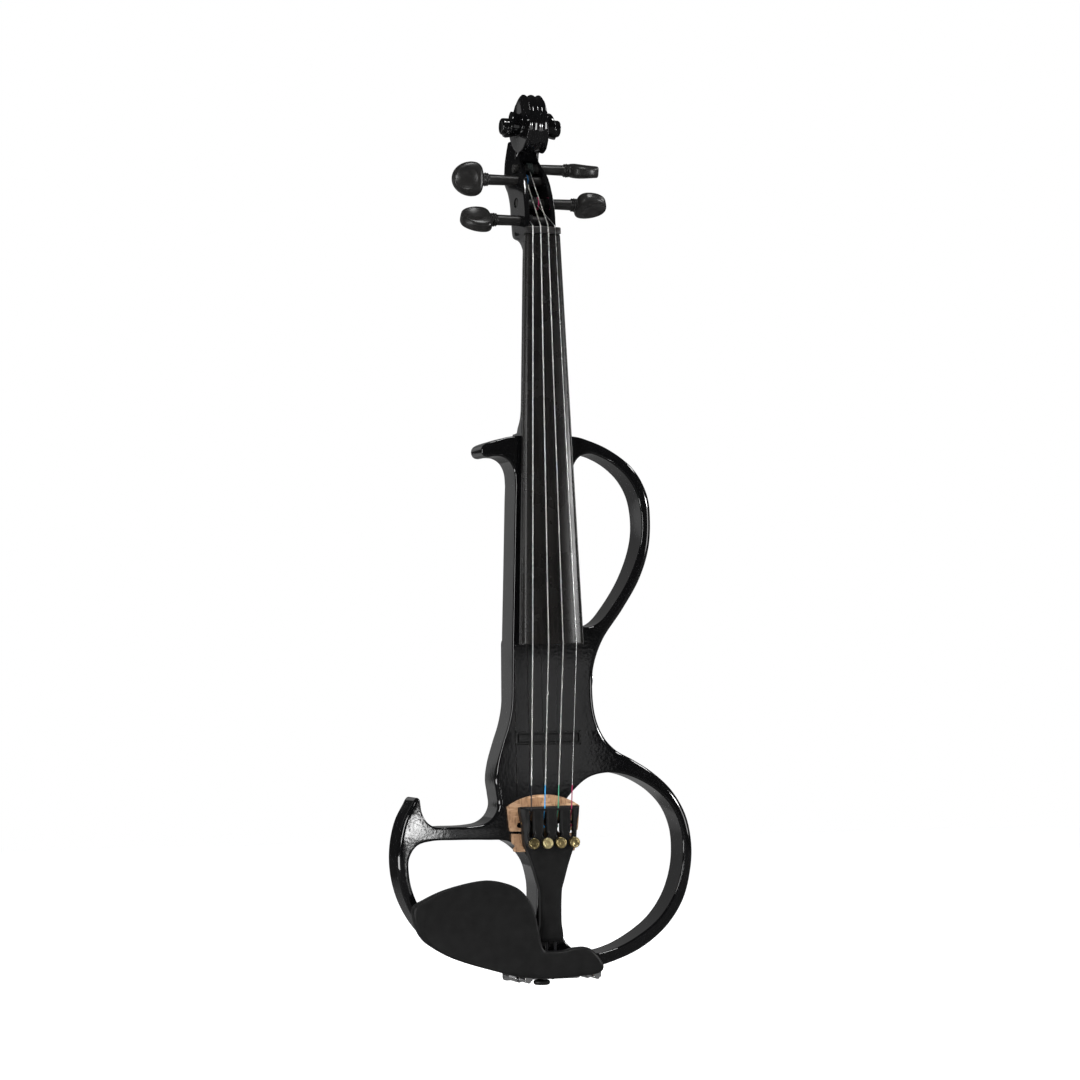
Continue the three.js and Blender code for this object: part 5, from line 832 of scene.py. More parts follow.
def build_peg(name):
    """A peg with three beads on its collar and a D-shaped thumb piece with hollow cheeks."""
    side, spin, up, depth, reach, wind = PEGS[name]
    reach *= HEAD
    profile = [(0, -PEG_TIP_REACH), (2.6, -PEG_TIP_REACH), (3, -PEG_TIP_REACH + 0.4)]
    profile += [(3.6, reach - 0.4)] + [(r, reach + a) for r, a in PEG_COLLAR] + [(0, reach + 7)]
    shaft = turned("shaft", profile, AXIS_Y, (0, 0, 0), 64, False)
    start, length, half_width, half_thick, roundness = reach + 3.8, 20.5, 11.5, 4.8, 0.62
    middle = start + length / 2
    rings = []
    for t, wide, thick in stations(PEG_HEAD, np.linspace(0, 1, 60) ** 0.8):
        ring = []
        for b in np.linspace(0, TURN, 72, endpoint=False):
            c, d = cos(b), sin(b)
            x = half_width * wide * copysign(abs(c) ** roundness, c)
            z = half_thick * thick * copysign(abs(d) ** roundness, d)
            ring.append((x, start + t * length, z))
        rings.append(ring)
    thumb = loft("thumb", rings, False)
    cheeks = []
    for s in (-1, 1):
        at = (0, middle + 2.6, s * 19.4)
        cheeks.append(turned("tool", ball(17, 48), AXIS_Y, at, 64, False))
    cut(thumb, cheeks)
    pin = turned("pin", ball(1.5, 12), AXIS_Y, (0, middle + 9.1, 0), 32, False)
    peg = voxel(joined("tuning_peg_" + name, [shaft, thumb, pin]), 0.22, 3)
    turn = Vector((0, 1, 0)).rotation_difference(peg_headward(side))
    turn = turn @ Quaternion((0, 1, 0), radians(spin))
    return shade(put(peg, peg_centre(name), turn), 50, False)


dress(build_neck(), NECK_LACQUER, "lacquer", "body", "neck")
for name in PEGS:
    dress(build_peg(name), POLISHED_EBONY, "ebony", "peg_" + name, "peg_" + name)

# Fingerboard, nut and saddle

TAIL_TURN = radians(0.8)
TAIL_FOOT = 22
TAIL_LENGTH = 88
TAIL_TOP = TAIL_FOOT + TAIL_LENGTH
TAIL_BACK = -5.4
TAIL_THICKNESS = 10.2
TAIL_FRONT = TAIL_BACK - TAIL_THICKNESS
PIN_HEIGHT = TAIL_TOP - 10.5
PIN_DEPTH = TAIL_BACK - 3.2
FORK_DEPTH = PIN_DEPTH - 2.4
NUT_HEIGHT = 4.4
NUT_RISE = 1.25
NUT_SPAN, BOARD_SPAN = 15.6, 30
ORDER = ["g", "d", "a", "e"]
RADII = {"g": 0.42, "d": 0.38, "a": 0.34, "e": 0.16}
SILK_RADIUS = 0.4


def build_fingerboard():
    ends = np.array([0, 0.15, 0.45, 1])
    middle = np.linspace(2, BOARD_LENGTH - 2, 60)
    span = np.concatenate([ends, middle, BOARD_LENGTH - ends[::-1]])
    ease = {0: 0.9, 1: 0.45, 2: 0.15}
    angles = [0.5 * pi * k / 6 for k in range(7)]
    corner = [(1 - cos(a), 1 - sin(a)) for a in angles]
    rings = []
    for index, along in enumerate(span):
        z = NUT_LINE - along
        shrink = ease.get(index, ease.get(len(span) - 1 - index, 0))
        half = board_half(z) - shrink * 0.6
        back, edge = glue_plane(z) - GAP, board_top(half, z)
        ring = [(half - 0.3, back, z), (-half + 0.3, back, z)]
        ring += [(-half + x, edge + y + 0.05, z) for x, y in corner]
        for k in range(1, 40):
            x = (half - 1) * (2 * k / 40 - 1)
            ring.append((x, board_top(x, z) + shrink * 0.6, z))
        ring += [(half - x, edge + y + 0.05, z) for x, y in corner[::-1]]
        rings.append(ring)
    return shade(loft("playing_board", rings), 40)


def hung(p):
    """Where a point of the tailpiece comes to lie when it hangs a little askew."""
    x, y, z = p
    c, s = cos(TAIL_TURN), sin(TAIL_TURN)
    return (c * x - s * (z - TAIL_FOOT), y, s * x + c * (z - TAIL_FOOT) + TAIL_FOOT)


def hang(obj):
    pivot = Vector(placed([(0, 0, TAIL_FOOT)])[0])
    turn = Matrix.Rotation(-TAIL_TURN, 4, "Y")
    obj.data.transform(Matrix.Translation(pivot) @ turn @ Matrix.Translation(-pivot))
    return obj


def slot_centre(i):
    return 9.2 * (i - 1.5)


def winding_radius(name, along):
    return peg_radius(name, along) + GAP + SILK_RADIUS


def string_points(name, i):
    """The path of one string, from its peg to the lever's fork in the tailpiece."""
    radius, side = RADII[name], PEGS[name][0]
    nut_x, end_x = (width * (i / 3 - 0.5) for width in (NUT_SPAN, BOARD_SPAN))
    nut_y = board_top(nut_x, NUT_LINE) - NUT_RISE
    along = side * PEGS[name][5] * NUT_WIDTH
    wound = winding_radius(name, along)
    swept = wound + SILK_RADIUS + GAP + radius
    bottom = NUT_LINE + GAP
    leave = Vector((nut_x, nut_y + 0.4, bottom + NUT_HEIGHT + GAP))
    target = peg_centre(name) + peg_headward(side) * along + Vector((0, -wound, 0))
    run = target - leave
    stop = run.length - sqrt(swept**2 - wound**2) - radius
    return [
        tuple(leave + run.normalized() * stop),
        tuple(leave),
        (nut_x, nut_y, bottom - GAP),
        (end_x, board_top(end_x, BOARD_END) - radius - 0.45, BOARD_END),
        hung((slot_centre(i), TAIL_FRONT + 0.8, TAIL_TOP - 1.3)),
        hung((slot_centre(i), FORK_DEPTH, PIN_HEIGHT + 1.6)),
        hung((slot_centre(i), FORK_DEPTH, PIN_HEIGHT - 2.4)),
    ]


def build_nut():
    bottom = NUT_LINE + GAP
    back = glue_plane(NUT_LINE) - GAP
    rings = []
    for z, shrink in ((0, 0.5), (0.2, 0.15), (0.6, 0), (2.2, 0), (3.8, 0), (4.2, 0.2), (4.4, 0.6)):
        half = NUT_WIDTH / 2 - shrink * 0.5
        fall = 0.5 * (z / NUT_HEIGHT) ** 2
        ring = [(half, back, bottom + z), (-half, back, bottom + z)]
        for k in range(33):
            x = half * (2 * k / 32 - 1)
            corner = 0.8 * max(0, abs(x) / half - 0.9) / 0.1
            y = board_top(x, NUT_LINE) - NUT_RISE + shrink * 0.6 + corner * 0.5 + fall
            ring.append((x, y, bottom + z))
        rings.append(ring)
    nut = loft("string_nut", rings)
    tools = []
    for i, name in enumerate(ORDER):
        a, b = (Vector(p) for p in string_points(name, i)[1:3])
        way = (b - a).normalized()
        path = [tuple(p) for p in (a - way * 4, a, b, b + way * 4)]
        tools.append(tube("tool", path, RADII[name] + GAP, 14))
    return shade(cut(nut, tools), 40)


def build_saddle():
    half = 8.5
    rings = []
    for x in np.linspace(-half, half, 41):
        t = abs(x) / half
        rise = 3.4 * (1 - 0.28 * t**3)
        edge = 0.5 if t > 0.97 else 0
        low, high = 0.4 + edge * 0.4, 4.4 - edge * 0.6
        rings.append([
            (x, 2.6, low), (x, 2.6, high), (x, -rise * 0.55, high),
            (x, -rise * 0.85, 4.1 - edge * 0.6), (x, -rise + edge * 0.4, 3.4),
            (x, -rise + edge * 0.4, 1.4), (x, -rise * 0.82, 0.6), (x, -rise * 0.5, low),
        ])
    return shade(loft("tail_saddle", rings), 50)


def build_button():
    profile = [
        (0, -7.6), (3.4, -7.6), (4.4, -7.45), (5.1, -7), (5.5, -6.3), (5.5, -5.2), (5.2, -4.7),
        (4.4, -4.25), (3, -3.8), (2.3, -3.2), (2.1, -2.2), (2.1, 0.3), (3.6, 0.3), (3.6, 12),
        (0, 12),
    ]
    return shade(turned("tail_button", profile, AXIS_Z, BUTTON_PLACE, 64), 40)


dress(build_fingerboard(), EBONY, "ebony", "body", "fingerboard")
dress(build_nut(), POLISHED_EBONY, "ebony", "body", "nut")
dress(build_saddle(), POLISHED_EBONY, "ebony", "body", "saddle")
dress(build_button(), POLISHED_EBONY, "ebony", "body", "end_button")

# Strings and windings

# For each string the silk's colour, the metal, its coils and how deep they look.
PLAIN_METAL, WOUND_METAL = grey(0.86), (0.8, 0.79, 0.77)
STRINGS = {
    "g": ((0.012, 0.012, 0.014), WOUND_METAL, 1000, 0.5),
    "d": ((0.02, 0.27, 0.58), WOUND_METAL, 1000, 0.5),
    "a": ((0.05, 0.27, 0.16), WOUND_METAL, 1000, 0.5),
    "e": ((0.26, 0.005, 0.055), PLAIN_METAL, 220, 0.08),
}
# On the pegs the silk's colour, and from where to where it isn't black; the D winding's blue is
# darker than its string's silk as painted shade of the pegbox.
PEG_SILK = {
    "g": ((0.012, 0.012, 0.014), -0.1, 0.1),
    "d": ((0.02, 0.2, 0.5), -0.1, -0.0034),
    "a": ((0.01, 0.016, 0.014), -0.1, 0.1),
    "e": ((0.42, 0.012, 0.1), 0.0022, 0.0036),
}
WINDING_TURNS, WINDING_PITCH, WINDING_STEPS = 3, 1.26, 120

for i, name in enumerate(ORDER):
    run = np.array(along_path(string_points(name, i), 1))
    radii = np.where(run[:, 2] < SILK_TOP, max(RADII[name], 0.36), RADII[name])
    wire = tube("playing_string_" + name, run, radii, 16)
    knob = turned("ball", ball(1.1, 16), AXIS_X, string_points(name, i)[-1], 24)
    piece = shade(joined("playing_string_" + name, [wire, knob]), 40, False)
    finish = string_finish(name, *STRINGS[name])
    dress(piece, finish, "string_steel", "body", "string_" + name)

for name, (side, spin, up, depth, reach, wind) in PEGS.items():
    coil = []
    for k in range(WINDING_STEPS + 1):
        share = k / WINDING_STEPS
        along = side * (wind * NUT_WIDTH + share * WINDING_TURNS * WINDING_PITCH)
        angle = share * WINDING_TURNS * 2 * pi
        radius = winding_radius(name, along)
        turn = Vector((0, -radius * cos(angle), radius * sin(angle)))
        coil.append(tuple(peg_centre(name) + peg_headward(side) * along + turn))
    piece = shade(tube("string_winding_" + name, coil, SILK_RADIUS, 12), 40, False)
    finish = peg_silk(name, *PEG_SILK[name])
    dress(piece, finish, "winding_silk", "peg_" + name, "peg_winding_" + name)

# Tailpiece and tuners

# Share of the tailpiece's length, half width and thickness.
TAIL_STATIONS = [
    (0, 0.36, 0.5), (0.035, 0.41, 0.62), (0.15, 0.35, 0.72), (0.24, 0.345, 0.78),
    (0.375, 0.365, 0.86), (0.455, 0.455, 0.9), (0.57, 0.6, 0.94), (0.66, 0.735, 0.97),
    (0.73, 0.86, 1), (0.865, 0.91, 1), (0.985, 0.99, 1), (1, 0.97, 0.9),
]
# Share of the half width, and how much thinner the tailpiece is there.
TAIL_CREST = [(0, 0), (0.25, 0.01), (0.55, 0.05), (0.88, 0.14), (1, 0.4)]
# Share of the length, and half width of the pocket behind.
TAIL_POCKET = [(0.715, 0.83), (0.73, 0.86), (0.865, 0.91), (0.98, 0.985)]
TAIL_HALF_WIDTH = 20.35
SLOT_TOP, SLOT_BOTTOM = TAIL_TOP - 2.6, TAIL_TOP - 18.1
TUNER_X = [-12.6, -4.6, 4.6, 12.6]
TUNER_HEIGHT = TAIL_TOP - 23.4
TUNER_SPLAY = [-7, 0, 0, 7]
TUNER_TIP = PIN_DEPTH - 0.8 - GAP - 1.2 * sin(radians(7))
TUNER_STEM = [(0, 0), (1, 0), (1.2, 0.2), (1.2, 6.4), (2.2, 6.7), (2.2, 6.95), (0, 6.95)]
# Radius, distance along the stem, and how deep the ribs are.
TUNER_HEAD = [
    (0.4, 6.9, 0), (2.6, 6.9, 0), (3.25, 7.05, 0.2), (3.6, 7.5, 1), (3.6, 10.6, 1),
    (3.5, 10.95, 0.3), (3.3, 11.1, 0), (2.75, 11.1, 0), (2.6, 10.95, 0), (2.45, 10.9, 0),
    (2.3, 11, 0), (1.2, 11, 0), (1.1, 10.92, 0), (0.4, 10.92, 0),
]
TUNER_RIBS, TUNER_STEPS = 28, 168
GUT_SPACING, GUT_RADIUS, GUT_BEND = 2.9, 1, 3.7
GUT_DEPTH = TAIL_BACK - 2.6


def crest_fall(share):
    """How far the tailpiece's front falls away towards its sides."""
    return float(smooth_at(*zip(*TAIL_CREST), share))


def tail_ring(height, width, thickness, inset, back, steps=20):
    z = TAIL_FOOT + height * TAIL_LENGTH
    half = TAIL_HALF_WIDTH * width - inset
    crest = []
    for s in np.linspace(1, -1, 2 * steps + 1):
        depth = TAIL_THICKNESS * thickness * (1 - crest_fall(abs(s)))
        crest.append((s * half, TAIL_BACK - depth + 2.1 * inset, z))
    return [(half, back, z), *crest, (-half, back, z)]


def slot_frame(x):
    """A low raised rim round one string slot, with its round lower end."""
    top, bend = SLOT_TOP - 0.2, SLOT_BOTTOM + 2.4
    path = [(x + 1.75, top), (x + 1.75, bend)]
    for a in np.linspace(0.55, -pi - 0.55, 19):
        path.append((x + 2.5 * cos(a), SLOT_BOTTOM + 2.5 * sin(a)))
    path += [(x - 1.75, bend), (x - 1.75, top)]
    line = []
    for px, pz in path:
        depth = TAIL_THICKNESS * (1 - crest_fall(abs(px) / 19.6))
        line.append((px, TAIL_BACK - depth + 0.25, pz))
    return tube("rim", along_path(line, 0.8), 0.55, 8)


def tuner_axis(i):
    turn = radians(TUNER_SPLAY[i])
    return Vector((sin(turn), -cos(turn), 0))


def build_tailpiece():
    heights = np.concatenate([np.linspace(0, 0.98, 110), [0.985, 0.99, 0.995, 1]])
    outside = [tail_ring(*row, 0, TAIL_BACK) for row in stations(TAIL_STATIONS, heights)]
    rims = [slot_frame(slot_centre(i)) for i in range(4)]
    tail = joined("tailpiece_shell", [loft("tail", outside), *rims])
    voxel(tail, 0.25, 2)
    inside = stations(TAIL_POCKET, np.linspace(0.715, 0.98, 20))
    tools = [loft("tool", [tail_ring(*row, 1, 1.6, TAIL_BACK + 2) for row in inside])]
    front = TAIL_FRONT - 2
    for i in range(4):
        x = slot_centre(i)
        tools += [
            box_tool((x - 1.1, x + 1.1), (front, PIN_DEPTH), (SLOT_BOTTOM, SLOT_TOP)),
            rod_tool(1.9, front, PIN_DEPTH, AXIS_Y, (x, 0, SLOT_BOTTOM)),
            rod_tool(1.5, -2, 6.9, tuner_axis(i), (TUNER_X[i], TUNER_TIP, TUNER_HEIGHT)),
        ]
    tools.append(rod_tool(1, -40, 40, AXIS_X, (0, PIN_DEPTH, PIN_HEIGHT)))
    for s in (-1, 1):
        tools.append(rod_tool(1.3, 20, 28.3, AXIS_Z, (s * GUT_SPACING, GUT_DEPTH, 0)))
    hang(cut(tail, tools))
    rooms = []
    for i, name in enumerate(ORDER):
        path = along_path(string_points(name, i)[3:], 4)
        rooms.append(tube("tool", path, RADII[name] + GAP, 12))
    return shade(cut(tail, rooms), 45, False)


def build_tuner(i):
    stem = turned("stem", TUNER_STEM, AXIS_Y, (0, 0, 0), 32, False)
    rings = []
    for radius, along, depth in TUNER_HEAD:
        ring = []
        for k in range(TUNER_STEPS):
            a = TURN * k / TUNER_STEPS
            r = radius - 0.3 * depth * (0.5 - 0.5 * cos(TUNER_RIBS * a))
            ring.append((r * sin(a), along, r * cos(a)))
        rings.append(ring)
    screw = joined("fine_tuner_" + ORDER[i], [stem, loft("head", rings, False)])
    lay = Vector((0, 1, 0)).rotation_difference(tuner_axis(i))
    return shade(hang(put(screw, (TUNER_X[i], TUNER_TIP, TUNER_HEIGHT), lay)), 40)


def build_gut():
    """The loop from the tailpiece over the saddle and round the end button."""
    front, under = -3.4 - GAP - GUT_RADIUS, -GAP - GUT_RADIUS

    def leg(side):
        x = side * GUT_SPACING
        return [
            hung((x, GUT_DEPTH, TAIL_FOOT + 6)), hung((x, GUT_DEPTH, TAIL_FOOT - 1)),
            (x, front - 1, 6.4), (x, front, 3.4), (x, front, 1),
            (x, front + 1, under - 0.5), (x, 0, under - 0.5),
            (side * GUT_BEND, BUTTON_PLACE[1] - GUT_BEND / 2, under - 0.5),
        ]

    bend = []
    for k in range(7):
        a = -pi * k / 6
        bend.append((-GUT_BEND * cos(a), BUTTON_PLACE[1] - GUT_BEND * sin(a), -1.8))
    path = smooth_loop(leg(-1) + bend + leg(1)[::-1], 10, False)
    return shade(tube("tail_gut_loop", path, GUT_RADIUS, 16), 50, False)


dress(build_tailpiece(), SATIN_BLACK, "satin_black_wood", "body", "tailpiece")
for i, name in enumerate(ORDER):
    screw = "tuner_screw_" + name
    dress(build_tuner(i), TUNER_BRASS[name], "brass", screw, screw)
dress(build_gut(), NYLON, "nylon", "body", "tail_gut")

# Bridge and pickup

# Points in thousandths of the bridge's half width and height.
BRIDGE_SIDE = [
    (420, 0), (820, 0), (840, 50), (790, 100), (865, 150), (885, 318), (500, 310), (380, 350),
    (350, 430), (420, 500), (550, 525), (680, 515), (740, 490), (755, 460), (730, 430), (670, 415),
    (600, 410), (590, 357), (922, 358), (945, 437), (1000, 790), (930, 825), (750, 890),
    (450, 960), (200, 990),
]
BRIDGE_CORNERS = [0, 1, 5, 16, 17, 18, 20]
BRIDGE_ARCH = [(-300, 130), (-120, 200), (120, 200), (300, 130)]
BRIDGE_HEART = [
    (0, 500), (-110, 560), (-170, 630), (-120, 700), (-40, 700), (0, 660), (40, 700), (120, 700),
    (170, 630), (110, 560),
]
BRIDGE_X, BRIDGE_FOOT = -2.5, 80.5
BRIDGE_HALF_WIDTH, BRIDGE_HEIGHT, BRIDGE_THICKNESS = 24.75, 37, 4.4


def part_smooth(points, corners):
    """A closed curve through points that keeps the named ones sharp."""
    n = len(points)
    out = []
    for c, start in enumerate(corners):
        end = corners[(c + 1) % len(corners)]
        count = (end - start) % n or n
        run = np.array([points[(start + k) % n] for k in range(count + 1)], float)
        if len(run) == 2:
            steps = np.linspace(0, 1, 4)[:-1, None]
            out.append(run[0] * (1 - steps) + run[1] * steps)
        else:
            out.append(smooth_loop(run, 10, False)[:-1])
    return np.concatenate(out)


def build_bridge():
    """The bridge, lying on the body; it thins from its feet to its top."""

    def on_bridge(points):
        return [
            (BRIDGE_X + x / 1000 * BRIDGE_HALF_WIDTH, BRIDGE_FOOT + z / 1000 * BRIDGE_HEIGHT)
            for x, z in points
        ]

    mirrored = [(-x, z) for x, z in BRIDGE_SIDE][::-1]
    corners = BRIDGE_CORNERS + [2 * len(BRIDGE_SIDE) - 1 - c for c in BRIDGE_CORNERS[::-1]]
    outline = part_smooth(on_bridge(BRIDGE_SIDE + mirrored + BRIDGE_ARCH), corners)
    # the heart-shaped hole through the bridge
    heart_hole_and_painted_shade = smooth_loop(on_bridge(BRIDGE_HEART), 8)
    loops = [with_radii(resampled(loop, 0.3), 0.22, 0.22) for loop in (outline, heart_hole_and_painted_shade)]
    bridge = rounded_plate("flat_bridge", loops, -GAP - BRIDGE_THICKNESS, -GAP, 3)
    for v in bridge.data.vertices:
        z = v.co.z * 1000 + HANGER_HEIGHT
        y = v.co.y * 1000 + HANGER_DEPTH
        thickness = BRIDGE_THICKNESS - 2.8 * (z - BRIDGE_FOOT) / BRIDGE_HEIGHT
        v.co.y = (-GAP + (y + GAP) * thickness / BRIDGE_THICKNESS - HANGER_DEPTH) * MM
    return shade(bridge, 40)


def rounded_rect(x0, x1, z0, z1, corner, steps=8):
    points = []
    for cx, cz, start in (
        (x1 - corner, z0 + corner, -90), (x1 - corner, z1 - corner, 0),
        (x0 + corner, z1 - corner, 90), (x0 + corner, z0 + corner, 180),
    ):
        for k in range(steps + 1):
            a = radians(start + 90 * k / steps)
            points.append((cx + corner * cos(a), cz + corner * sin(a)))
    return np.array(points)


def build_pickup():
    """A bar with rounded edges and a fine groove round its face."""
    edge = with_radii(rounded_rect(-20.7, 24.1, 149.9, 158.5, 1.4), 0.6, 0.2)
    bar = rounded_plate("pickup_bar_shell", [edge], -0.9, 2.3, 5)
    outer = with_radii(rounded_rect(-19.5, 22.9, 151.1, 157.3, 0.9), 0.05, 0.05)
    inner = with_radii(rounded_rect(-18.5, 21.9, 152.1, 156.3, 0.5), 0.05, 0.05)
    return shade(cut(bar, [rounded_plate("tool", [outer, inner], -2, 0.6, 1)]), 35)


dress(build_bridge(), MAPLE, "maple", "body", "bridge")
dress(build_pickup(), PICKUP_BLACK, "black_plastic", "body", "pickup_bar")

# Chinrest

# Points in thousandths of the chinrest's width and height.
CHIN_EDGE = [
    (0, 746), (57, 820), (172, 918), (376, 1000), (471, 974), (556, 896), (618, 736), (655, 471),
    (670, 313), (687, 250), (735, 241), (790, 245), (840, 269), (921, 264), (974, 165), (1000, 60),
    (985, 4), (880, -33), (710, -49), (550, -20), (446, 35), (217, 185), (113, 296), (45, 404),
    (5, 560),
]
CHIN_LEFT, CHIN_FOOT, CHIN_WIDTH, CHIN_HEIGHT = -95.6, 2.2, 127.8, 61.3
CHIN_FRONT, CHIN_BACK = -22, -14
DISH_CENTRE, DISH_RADIUS, DISH_DEPTH = (-52, CHIN_FRONT, 35), 37, 4.6


def build_chinrest():
    """A cup with a round dish, two feet on the body and seats for the clamp's studs."""
    points = [
        (CHIN_LEFT + x / 1000 * CHIN_WIDTH, CHIN_FOOT + z / 1000 * CHIN_HEIGHT)
        for x, z in CHIN_EDGE
    ]
    edge = with_radii(resampled(smooth_loop(points), 0.8), 2.2, 1.4)
    parts = [rounded_plate("plate", [edge], CHIN_FRONT, CHIN_BACK, 6)]
    parts += [box_tool(x, (-18, -3), (2.6, 13.6)) for x in ((-31.5, -12.5), (12.5, 28.5))]
    chin = voxel(joined("chinrest_cup", parts), 0.5, 2)
    dish = [(0, -DISH_DEPTH)]
    dish += [(s * DISH_RADIUS, -DISH_DEPTH * (1 - s**2)) for s in np.linspace(0.05, 1, 30)]
    dish += [(DISH_RADIUS, 4), (0, 4)]
    cut(chin, [turned("tool", dish, (0, -1, 0), DISH_CENTRE, 96)])
    voxel(chin, 0.5, 8)
    tools = []
    for x, z in ((-18, -2.3), (29, -1)):
        tools.append(box_tool((x - 2.8, x + 2.8), (-17.3, -15.1), (z - 9, z + 9.3)))
    return shade(cut(chin, tools), 45, False)


dress(build_chinrest(), SATIN_BLACK, "satin_black_wood", "body", "chinrest")

# Carried-over nodes

# Nodes that stay as they are.
PLAIN = {"lever_pin": BRASS, "pickup_lead": NYLON, "preamp_board": BOARD_GREEN}
for node, material in PLAIN.items():
    mesh = frame["nodes"][node].data
    mesh.materials.clear()
    mesh.materials.append(material)

# Nodes whose own shape is kept, with rounded edges: material, slot, edge width, nodes.
FITTINGS = [
    (CHROME, "chrome", 0.25, ["clamp_stud_left", "clamp_stud_right"]),
    (CHROME, "chrome", 0.2, ["clamp_barrel_left", "clamp_barrel_right"]),
    (CHROME, "chrome", 0.35, ["clamp_bracket"]),
    (CORK, "cork", 0.3, ["clamp_cork", "chinrest_cork_left", "chinrest_cork_right"]),
    (PLASTIC, "black_plastic", 0.3, ["control_panel"]),
    (PLASTIC, "black_plastic", 0.2, ["battery_door"]),
    (PLASTIC, "black_plastic", 0.15, ["battery_box"]),
    (CAN_METAL, "steel", 0.6, ["battery"]),
    (RUBBER, "black_plastic", 0.3, ["battery_snap"]),
    (STEEL, "steel", 0.2, ["volume_pot", "tone_pot"]),
    (STEEL, "steel", 0.15, ["switch_body"]),
    (RUBBER, "black_plastic", 0.25, ["switch_slider"]),
    (CHROME, "chrome", 0.2, ["output_jack"]),
    (CHROME, "chrome", 0.3, ["output_jack_nut"]),
    (CHROME, "chrome", 0.15, ["headphone_jack"]),
    (DARK_STEEL, "steel", 0.15, ["tuner_lever_" + name for name in ORDER]),
    (STEEL, "steel", 0.1, ["panel_screw_%d" % k for k in range(1, 5)]),
    (RUBBER, "black_plastic", 0.2, ["volume_knob", "tone_knob"]),
]
BODY_OF = {}
for body, members in frame["record"]["behaviour"]["bodies"].items():
    BODY_OF.update(dict.fromkeys(members, body))


def build_fitting(node, width):
    """A copy of a node with its flat faces merged and its edges rounded."""
    b = bmesh.new()
    b.from_mesh(frame["nodes"][node].data)
    bmesh.ops.remove_doubles(b, verts=b.verts, dist=1e-6)
    bmesh.ops.dissolve_limit(b, angle_limit=radians(2), verts=b.verts, edges=b.edges)
    mesh = bpy.data.meshes.new(node + "_fine")
    b.to_mesh(mesh)
    b.free()
    piece = link(node + "_fine", mesh)
    modify(
        piece, "BEVEL", width=width * MM, segments=2, limit_method="ANGLE",
        angle_limit=radians(25), harden_normals=False, use_clamp_overlap=True,
    )
    return shade(apply_all(piece), 40)


for material, slot, width, nodes in FITTINGS:
    for node in nodes:
        dress(build_fitting(node, width), material, slot, BODY_OF[node], node)

# Camera, lights and room

# The photograph's width in pixels, and the camera's lens and sensor in millimetres.
FRAME, LENS, SENSOR = 1080, 108.73, 36
FRONT = -HANGER_DEPTH * MM
FLOOR_HEIGHT, FLOOR_REACH = -0.67, 4

scene = bpy.context.scene
camera = bpy.data.objects.new("camera", bpy.data.cameras.new("camera"))
scene.collection.objects.link(camera)
eye = Vector((-0.667, -2.0545, -0.3418))
target = Vector((-0.0029, -0.0245, -0.2568))
look = (target - eye).normalized()
right = look.cross(Vector((0, 0, 1))).normalized()
up = right.cross(look)
roll = radians(-0.4)
right, up = (
    right * cos(roll) + up * sin(roll),
    up * cos(roll) - right * sin(roll),
)
basis = Matrix((right, up, -look)).transposed()
camera.matrix_world = Matrix.Translation(eye) @ basis.to_4x4()
camera.data.lens = LENS
camera.data.sensor_width = SENSOR
camera.data.clip_end = 50
scene.camera = camera


def lamp(name, where, aim, width, height, power, glossy=True):
    """A rectangular lamp in watts; without glossy it lights but doesn't show in reflections."""
    data = bpy.data.lights.new(name, "AREA")
    data.shape = "RECTANGLE"
    data.size, data.size_y = width, height
    data.energy = power
    obj = link(name, data)
    obj.location = where
    obj.rotation_euler = (Vector(aim) - Vector(where)).to_track_quat("-Z", "Y").to_euler()
    obj.visible_camera = False
    obj.visible_glossy = glossy


def mirrored_lamp(name, px, py, distance, radiance):
    """A soft panel whose reflection in the flat front covers a pixel span of the photo."""
    corners = []
    for u in px:
        for v in py:
            sx = (u - FRAME / 2) / FRAME * SENSOR / LENS
            sy = -(v - FRAME / 2) / FRAME * SENSOR / LENS
            ray = look + right * sx + up * sy
            hit = eye + ray * ((FRONT - eye.y) / ray.y)
            back = Vector((ray.x, -ray.y, ray.z))
            corners.append(hit + back * (distance / -back.y))
    middle = sum(corners, Vector()) / 4
    width = (corners[2] - corners[0]).length
    height = (corners[1] - corners[0]).length
    aim = Vector((middle.x, 0, middle.z))
    lamp(name, middle, aim, width, height, radiance * pi * width * height)


mirrored_lamp("spine_glow", (506, 604), (655, 790), 1.25, 0.66)
mirrored_lamp("hook_glow", (394, 428), (806, 843), 1.2, 28)
mirrored_lamp("hook_side", (396, 416), (846, 894), 1.2, 4.5)
mirrored_lamp("arm_streak", (436, 492), (829, 834), 1.2, 3)
lamp("left_front", (-1, -0.95, -0.12), (0, 0, -0.2), 0.3, 0.5, 7)
lamp("left_fill", (-1, -0.95, 0.1), (0, 0, -0.3), 0.3, 1.4, 11, False)
lamp("wall_card", (-0.104, 0.35, -0.265), (-0.104, 0, -0.265), 0.088, 0.59, 0.34 * pi * 0.052)
lamp("ring_card", (0.095, 0.35, -0.265), (0.095, 0, -0.265), 0.31, 0.59, 0.14 * pi * 0.183)
lamp("pegbox_card", (-0.95, 1.5, 0.14), (-0.95, 0, 0.14), 0.7, 0.5, 0.36 * pi * 0.35)
lamp("edge_left", (-1.16, -0.32, -0.57), (-0.03, 0, -0.42), 0.8, 0.17, 5.2)
lamp("edge_right", (1.04, 0.18, 0.43), (0.07, 0, -0.4), 0.4, 0.12, 2.1)
lamp("key_high", (0.25, -0.9, 1.6), (0, 0, -0.3), 0.5, 0.35, 22)
lamp("right_front", (1.5, -0.75, -0.12), (0, 0, -0.2), 0.5, 0.55, 5)
lamp("right_fill", (1.5, -0.75, 0), (0, 0, -0.3), 0.5, 1.4, 2.5, False)
lamp("board_streak", (1.32, -0.716, -0.005), (0.015, -0.03, -0.15), 0.24, 0.13, 8)
lamp("back_left", (-1.1, 1.2, 0.5), (0, 0, -0.3), 0.7, 1.2, 14, False)
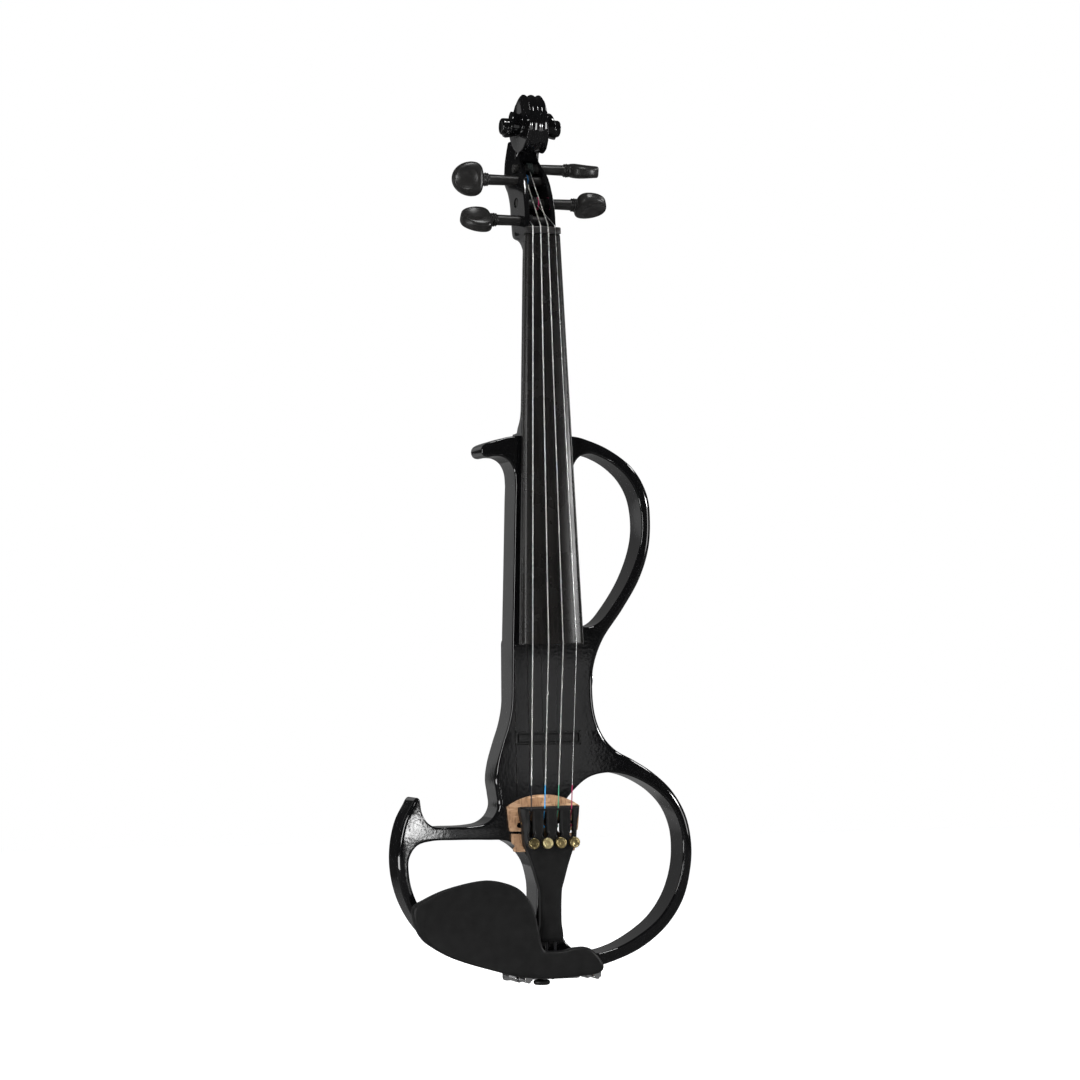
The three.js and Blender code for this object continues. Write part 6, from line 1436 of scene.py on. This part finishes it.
lamp("back_right", (1.1, 1.3, 0.6), (0, 0, -0.3), 0.7, 1.2, 12, False)
lamp("overhead", (0, 0.1, 1.6), (0, 0, -0.3), 1.4, 1, 12, False)

# The world is white to the camera, dark in reflections, and a soft light otherwise.
sky = Nodes(bpy.data.worlds.new("studio"))
scene.world = sky.owner
sky.tree.nodes.clear()
rays = sky.add("LightPath").node.outputs
seen = {0: rays["Is Camera Ray"], 1: rays["Is Transmission Ray"]}
behind = sky.spread(sky.axis("Y", "Generated"), 0.04, 0.02, 0.72, 0.9, "SMOOTHSTEP")
mirrored = sky.add("Background", {"Color": (1, 1, 1, 1), "Strength": behind})
soft = sky.add("Background", {"Color": (0.95, 0.97, 1, 1), "Strength": 0.35})
white = sky.add("Background", {"Color": (1, 1, 1, 1), "Strength": 1})
unseen = sky.choose(rays["Is Glossy Ray"], soft, mirrored)
shown = sky.choose(sky.add("Math", seen, operation="MAXIMUM"), unseen, white)
sky.feed(sky.tree.nodes.new("ShaderNodeOutputWorld"), {"Surface": shown})

# The floor is pale to the camera and dim in reflections, where it fades towards the back.
corners = [(-1, -1), (1, -1), (1, 1), (-1, 1)]
floor_mesh = bpy.data.meshes.new("floor")
floor_mesh.from_pydata(
    [(x * FLOOR_REACH, y * FLOOR_REACH, FLOOR_HEIGHT) for x, y in corners], [], [(0, 1, 2, 3)]
)
floor = link("floor", floor_mesh)
pale = material_nodes("pale_floor")
matt = pale.tree.nodes["Principled BSDF"]
pale.feed(matt, {"Base Color": (0.8, 0.8, 0.8, 1), "Roughness": 0.9})
matt = matt.outputs["BSDF"]
rays = pale.add("LightPath").node.outputs
dim = pale.add("Emission", {"Strength": pale.spread(pale.axis("Y"), 0.16, 0.03, 0.7, 1.3)})
lit = pale.add("AddShader", {0: matt, 1: pale.add("Emission", {"Strength": 0.72})})
unseen = pale.choose(rays["Is Glossy Ray"], matt, dim)
shown = pale.choose(rays["Is Camera Ray"], unseen, lit)
pale.feed(pale.tree.nodes["Material Output"], {"Surface": shown})
floor_mesh.materials.append(pale.owner)

scene.view_settings.view_transform = "Standard"
